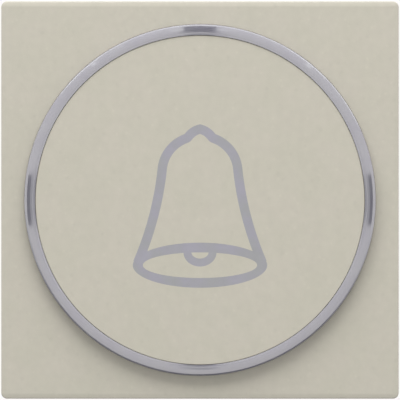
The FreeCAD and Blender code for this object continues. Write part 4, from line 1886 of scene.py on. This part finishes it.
@dataclass
class LocatingLight:
    """Board with its lamps, resistor, diode and leads.

    Attributes:
        level: Level of the board's upper face.
        middle: Height of the board's middle line.
        lead_edge: Rounding of the leads' edges.
        lead_angle: Edges above this angle are rounded.
        lamp_x: Distance of a lamp from the middle.
        lamp_base: Length, width and height of a lamp's base.
        lens_radius: Radius of a lamp's lens.
        lens_height: Height of the lens.
        lens_dome: Share of that height that is domed.
        lens_steps: Faces from the edge of the dome to its top.
        segments: Steps round the lenses and the diode.
        resistor: Limits along x.
        resistor_half: Half of the resistor's width.
        resistor_height: Its height.
        resistor_core: How much its black body is smaller at each end, each side and on top.
        resistor_cap: Length of an end cap.
        small_edge: Rounding of the lamps' bases and the resistor's caps.
        core_edge: Rounding of its black body.
        diode: Limits along x.
        diode_radius: Radius of the diode's end caps.
        diode_glass: How much its glass is smaller in radius and at each end.
        diode_cap: Length of an end cap and its chamfer.
        band: Limits of the polarity band from the diode's left end.
        band_skin: How deep the band starts and ends below the caps' radius.
    """

    level: float = -3.4
    middle: float = 13.86
    lead_edge: float = 0.05
    lead_angle: float = 50.0
    lamp_x: float = 13.86
    lamp_base: Point = (2.0, 1.2, 0.5)
    lens_radius: float = 0.6
    lens_height: float = 0.6
    lens_dome: float = 0.6
    lens_steps: int = 10
    segments: int = 32
    resistor: Pair = (-5.2, -2.0)
    resistor_half: float = 0.8
    resistor_height: float = 0.6
    resistor_core: Point = (0.4, 0.05, 0.03)
    resistor_cap: float = 0.45
    small_edge: float = 0.06
    core_edge: float = 0.04
    diode: Pair = (1.9, 5.3)
    diode_radius: float = 0.75
    diode_glass: Pair = (0.08, 0.3)
    diode_cap: Pair = (0.55, 0.06)
    band: Pair = (0.75, 1.1)
    band_skin: Pair = (0.1, 0.06)

    def lens(self) -> Shape:
        """Lamp lens round the origin: a short cylinder under a dome.

        Returns:
            The turned body.
        """
        r, rise = self.lens_radius, self.lens_height * self.lens_dome
        arc = dome(r, self.lens_height - rise, rise, self.lens_steps)
        return lathe([(0.0, 0.0), (r, 0.0), *arc, (0.0, self.lens_height)], self.segments)

    def along_x(self, profile: Sequence[Pair], x: float) -> Shape:
        """Turned body of the diode, whose axis runs along x.

        Args:
            profile: Points as (radius, distance from x).
            x: Where the profile starts.

        Returns:
            The body on the board.
        """
        height = self.level + self.diode_radius
        turned = lathe(profile, self.segments)
        return turned.mapped(lambda a, b, c: (x + c, self.middle + b, height + a))

    def build(self, wardrobe: Wardrobe, scatter: Scatter) -> None:
        """Makes the parts on the board and dresses them and the board.

        Args:
            wardrobe: Source of the finishes.
            scatter: Places the lamps.
        """
        wardrobe.dress_node("led_board", BOARD)
        leads = softened(frame_copy("board_leads", "leads_soft"), self.lead_edge, self.lead_angle)
        wardrobe.dress(leads, TINNED, Body.MODULE, ["board_leads"])
        length, width, height = self.lamp_base
        base = block((-length / 2, length / 2), (-width / 2, width / 2), (0, height))
        for name, pattern, level, finish in (
            ("lamp_seats", softened(base.build("seat"), self.small_edge), self.level, LAMP_BODY),
            ("lamp_lenses", smooth(self.lens().build("dome")), self.level + height, LENS),
        ):
            places = [(sign * self.lamp_x, self.middle, level) for sign in (-1, 1)]
            lamps = scatter.place(name, pattern, places, wardrobe.material(finish))
            wardrobe.dress(lamps, finish, Body.MODULE, ["lamps"])
        self.build_resistor(wardrobe)
        self.build_diode(wardrobe)

    def build_resistor(self, wardrobe: Wardrobe) -> None:
        """Makes the resistor's body and its two end caps.

        Args:
            wardrobe: Source of the finishes.
        """
        start, end = self.resistor
        end_gap, side_gap, top_gap = self.resistor_core
        half, high, cap = self.resistor_half, self.level + self.resistor_height, self.resistor_cap
        core = half - side_gap
        body = block((start + end_gap, end - end_gap), (self.middle - core, self.middle + core),
                     (self.level, high - top_gap))
        piece = softened(body.build("resistor_body"), self.core_edge)
        wardrobe.dress(piece, RESISTOR, Body.MODULE, ["resistor"])
        caps = [block((x, x + cap), (self.middle - half, self.middle + half), (self.level, high))
                for x in (start, end - cap)]
        piece = softened(caps[0].join(caps[1]).build("resistor_caps"), self.small_edge)
        wardrobe.dress(piece, TINNED, Body.MODULE, ["resistor"])

    def build_diode(self, wardrobe: Wardrobe) -> None:
        """Makes the diode's glass body, its two metal caps and its polarity band.

        Args:
            wardrobe: Source of the finishes.
        """
        start, end = self.diode
        r, (skin, gap), (length, edge) = self.diode_radius, self.diode_glass, self.diode_cap
        core, far = r - skin, end - start - gap
        glass = [(0.0, gap), (core, gap), (core, far), (0.0, far)]
        cap = [(0.0, 0.0), (r - edge, 0.0), (r, edge), (r, length - edge), (r - edge, length),
               (0.0, length)]
        low, high = (r - depth for depth in self.band_skin)
        first, last = self.band
        band = [(low, first), (high, first), (high, last), (low, last)]
        for name, shape, finish in (
            ("diode_glass", self.along_x(glass, start), DIODE),
            ("diode_caps", self.along_x(cap, start).join(self.along_x(cap, end - length)), TINNED),
            ("diode_band", self.along_x(band, start), RESISTOR),
        ):
            piece = smooth(shape.build(name), TURNED_ANGLE)
            wardrobe.dress(piece, finish, Body.MODULE, ["diode"])


@dataclass(frozen=True)
class Lamp:
    """Square soft light that faces the object and shows in no reflection.

    Attributes:
        name: Name of the light.
        place: Its place in metres, in the row frame.
        size: Side of its square in metres.
        power: Power in watts.
    """

    name: str
    place: Point
    size: float
    power: float

    def build(self) -> None:
        """Adds the light to the scene."""
        data = bpy.data.lights.new(self.name, "AREA")
        data.size = self.size
        data.energy = self.power
        made = linked(self.name, data)
        aim = Vector((0, 0, 0)) - Vector(self.place)
        made.location = self.place
        made.rotation_euler = aim.to_track_quat("-Z", "Y").to_euler()
        made.visible_camera = False
        made.visible_glossy = False


@dataclass(frozen=True)
class Card:
    """Card that only reflections see, on a sphere round the object.

    Attributes:
        name: Name of the card.
        azimuth: Direction round the push axis, from the right towards the top.
        spread: Its width round the axis.
        tilt: Its two ends as angles away from the push axis.
        glow: Brightness.
        radius: Radius of the sphere in metres.
        steps: Faces along each side.
    """

    name: str
    azimuth: float
    spread: float
    tilt: Pair
    glow: float
    radius: float = 0.5
    steps: int = 6

    def build(self) -> None:
        """Adds the card to the scene."""
        steps, points, faces = self.steps, [], []
        for k in range(steps + 1):
            t = math.radians(self.tilt[0] + (self.tilt[1] - self.tilt[0]) * k / steps)
            for j in range(steps + 1):
                a = math.radians(self.azimuth + self.spread * (j / steps - 0.5))
                x, y, z = math.sin(t) * math.cos(a), -math.cos(t), math.sin(t) * math.sin(a)
                points.append((self.radius * x, self.radius * y, self.radius * z))
        for k in range(steps):
            for j in range(steps):
                one = k * (steps + 1) + j
                faces.append((one, one + 1, one + steps + 2, one + steps + 1))
        made = meshed(self.name, points, faces)
        for way in ("camera", "diffuse", "shadow", "transmission", "volume_scatter"):
            setattr(made, "visible_" + way, False)
        shader = Shader(self.name)
        shader.set(Base_Color=BLACK, Specular_IOR_Level=0.0, Emission_Color=WHITE,
                   Emission_Strength=self.glow)
        made.data.materials.append(shader.material)


LAMPS = (
    Lamp("key", (-0.02, -0.205, 0.456), 0.54, 3.15),
    Lamp("back", (0.35, 0.75, 0.15), 0.5, 3.0),
)
LOW_TILT = (58, 120)
LOW_GLOWS = (0.15, 0.32, 0.5, 0.68, 0.85)
CARDS = (
    Card("dark_left", 180, 17, (22, 48), 0.0),
    Card("dim_left", 180, 17, (4, 22), 0.35),
    Card("dark_right", 0, 17, (22, 46), 0.0),
    Card("dim_right", 0, 17, (-14, 22), 0.35),
    Card("dark_top", 90, 11, (4, 54), 0.0),
    Card("dim_top", 90, 11, (-20, 4), 0.45),
    Card("patch_left", 97.5, 4, (26, 40), 1.2),
    Card("patch_right", 82.5, 4, (26, 40), 1.2),
    Card("glint_left", 128, 1.5, (30, 56), 1.5),
    Card("glint_right", 51, 1.5, (30, 56), 1.5),
    Card("edge_top", 84, 118, (62, 89), 1.7),
    Card("edge_left", 132, 16, (60, 89), 2.8),
    Card("edge_right", 52, 16, (60, 89), 2.8),
    Card("edge_low", 266, 104, LOW_TILT, 0.0),
    *(Card(f"edge_low_{side}_{step}", start + way * step, 6, LOW_TILT, glow)
      for step, glow in enumerate(LOW_GLOWS)
      for side, start, way in (("left", 211, -6), ("right", 321, 6))),
)


@dataclass
class Studio:
    """Pale floor, soft light, cards for the reflections, and the camera.

    Attributes:
        floor_drop: Level of the floor below the part's middle, in metres.
        floor_radius: Radius of the floor in metres.
        floor_grey: Linear brightness of the floor.
        lens: Focal length.
        sensor: Sensor width.
        reach: Nearest and farthest distance that the camera sees, in metres.
        picture: Width of the picture in pixels.
        plate_pixels: Width of the plate in the picture.
        plate_side: Side of the plate.
        plate_level: Level of its face.
        ambient: Strength of the even light.
        background: Linear colour past the object.
    """

    floor_drop: float = 0.05
    floor_radius: float = 1.1
    floor_grey: float = 0.6
    lens: float = 800.0
    sensor: float = 36.0
    reach: Pair = (0.01, 20.0)
    picture: float = 400.0
    plate_pixels: float = 397.5
    plate_side: float = 45.0
    plate_level: float = 8.0
    ambient: float = 0.55
    background: Colour = (1.0, 0.975, 0.975)

    def floor(self, corners: int = 64) -> None:
        """Makes the pale round floor.

        Args:
            corners: Number of its corners.
        """
        r = self.floor_radius
        points = [(r * math.cos(a), r * math.sin(a), -self.floor_drop)
                  for a in (2 * math.pi * k / corners for k in range(corners))]
        made = meshed("floor", points, [tuple(range(corners))])
        made.visible_diffuse = False
        made.visible_glossy = False
        shader = Shader("floor_pale")
        shader.set(Base_Color=(*[self.floor_grey] * 3, 1.0), Roughness=0.7)
        made.data.materials.append(shader.material)

    def world(self) -> None:
        """Even light, and a white background where camera and reflections look past the object."""
        world = bpy.data.worlds.new("studio")
        bpy.context.scene.world = world
        world.use_nodes = True
        nodes = NodeBuilder(world.node_tree)
        nodes.tree.nodes.clear()
        ray = nodes.add("ShaderNodeLightPath").outputs
        through = nodes.add("ShaderNodeMath", {
            0: ray["Is Glossy Ray"], 1: ray["Is Transmission Ray"],
        }, operation="MAXIMUM")
        seen = nodes.add("ShaderNodeMath", {
            0: ray["Is Camera Ray"], 1: through.outputs[0],
        }, operation="MAXIMUM")
        light = nodes.add("ShaderNodeBackground", {"Color": WHITE, "Strength": self.ambient})
        shown = nodes.add("ShaderNodeBackground", {"Color": (*self.background, 1.0)})
        pick = nodes.add("ShaderNodeMixShader", {
            "Fac": seen.outputs[0], 1: light.outputs[0], 2: shown.outputs[0],
        })
        nodes.add("ShaderNodeOutputWorld", {"Surface": pick.outputs[0]})

    def camera(self) -> None:
        """Camera straight in front, far away, with the plate as wide as in the picture."""
        data = bpy.data.cameras.new("camera")
        data.lens, data.sensor_width = self.lens, self.sensor
        data.clip_start, data.clip_end = self.reach
        made = linked("camera", data)
        width = self.plate_side * self.picture / self.plate_pixels
        distance = width * self.lens / self.sensor + self.plate_level
        made.location = (0.0, -distance * MM, 0.0)
        made.rotation_euler = (math.pi / 2, 0.0, 0.0)
        bpy.context.scene.camera = made

    def build(self) -> None:
        """Sets the whole studio."""
        self.floor()
        self.world()
        for light in (*LAMPS, *CARDS):
            light.build()
        self.camera()
        bpy.context.scene.view_settings.view_transform = "Standard"


def main() -> None:
    """Builds each sub-assembly in order and reports it."""
    logging.basicConfig(level=logging.INFO, format="%(name)s %(message)s")
    wardrobe, coil, scatter = Wardrobe(), Coil(), Scatter()
    FacePlate().build(wardrobe)
    LightRing().build(wardrobe)
    PushCap().build(wardrobe)
    Mechanism().build(wardrobe, coil, scatter)
    Terminals().build(wardrobe)
    Screws().build(wardrobe, scatter)
    RearModule().build(wardrobe)
    LocatingLight().build(wardrobe, scatter)
    Studio().build()
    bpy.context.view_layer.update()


if __name__ == "__main__":
    main()
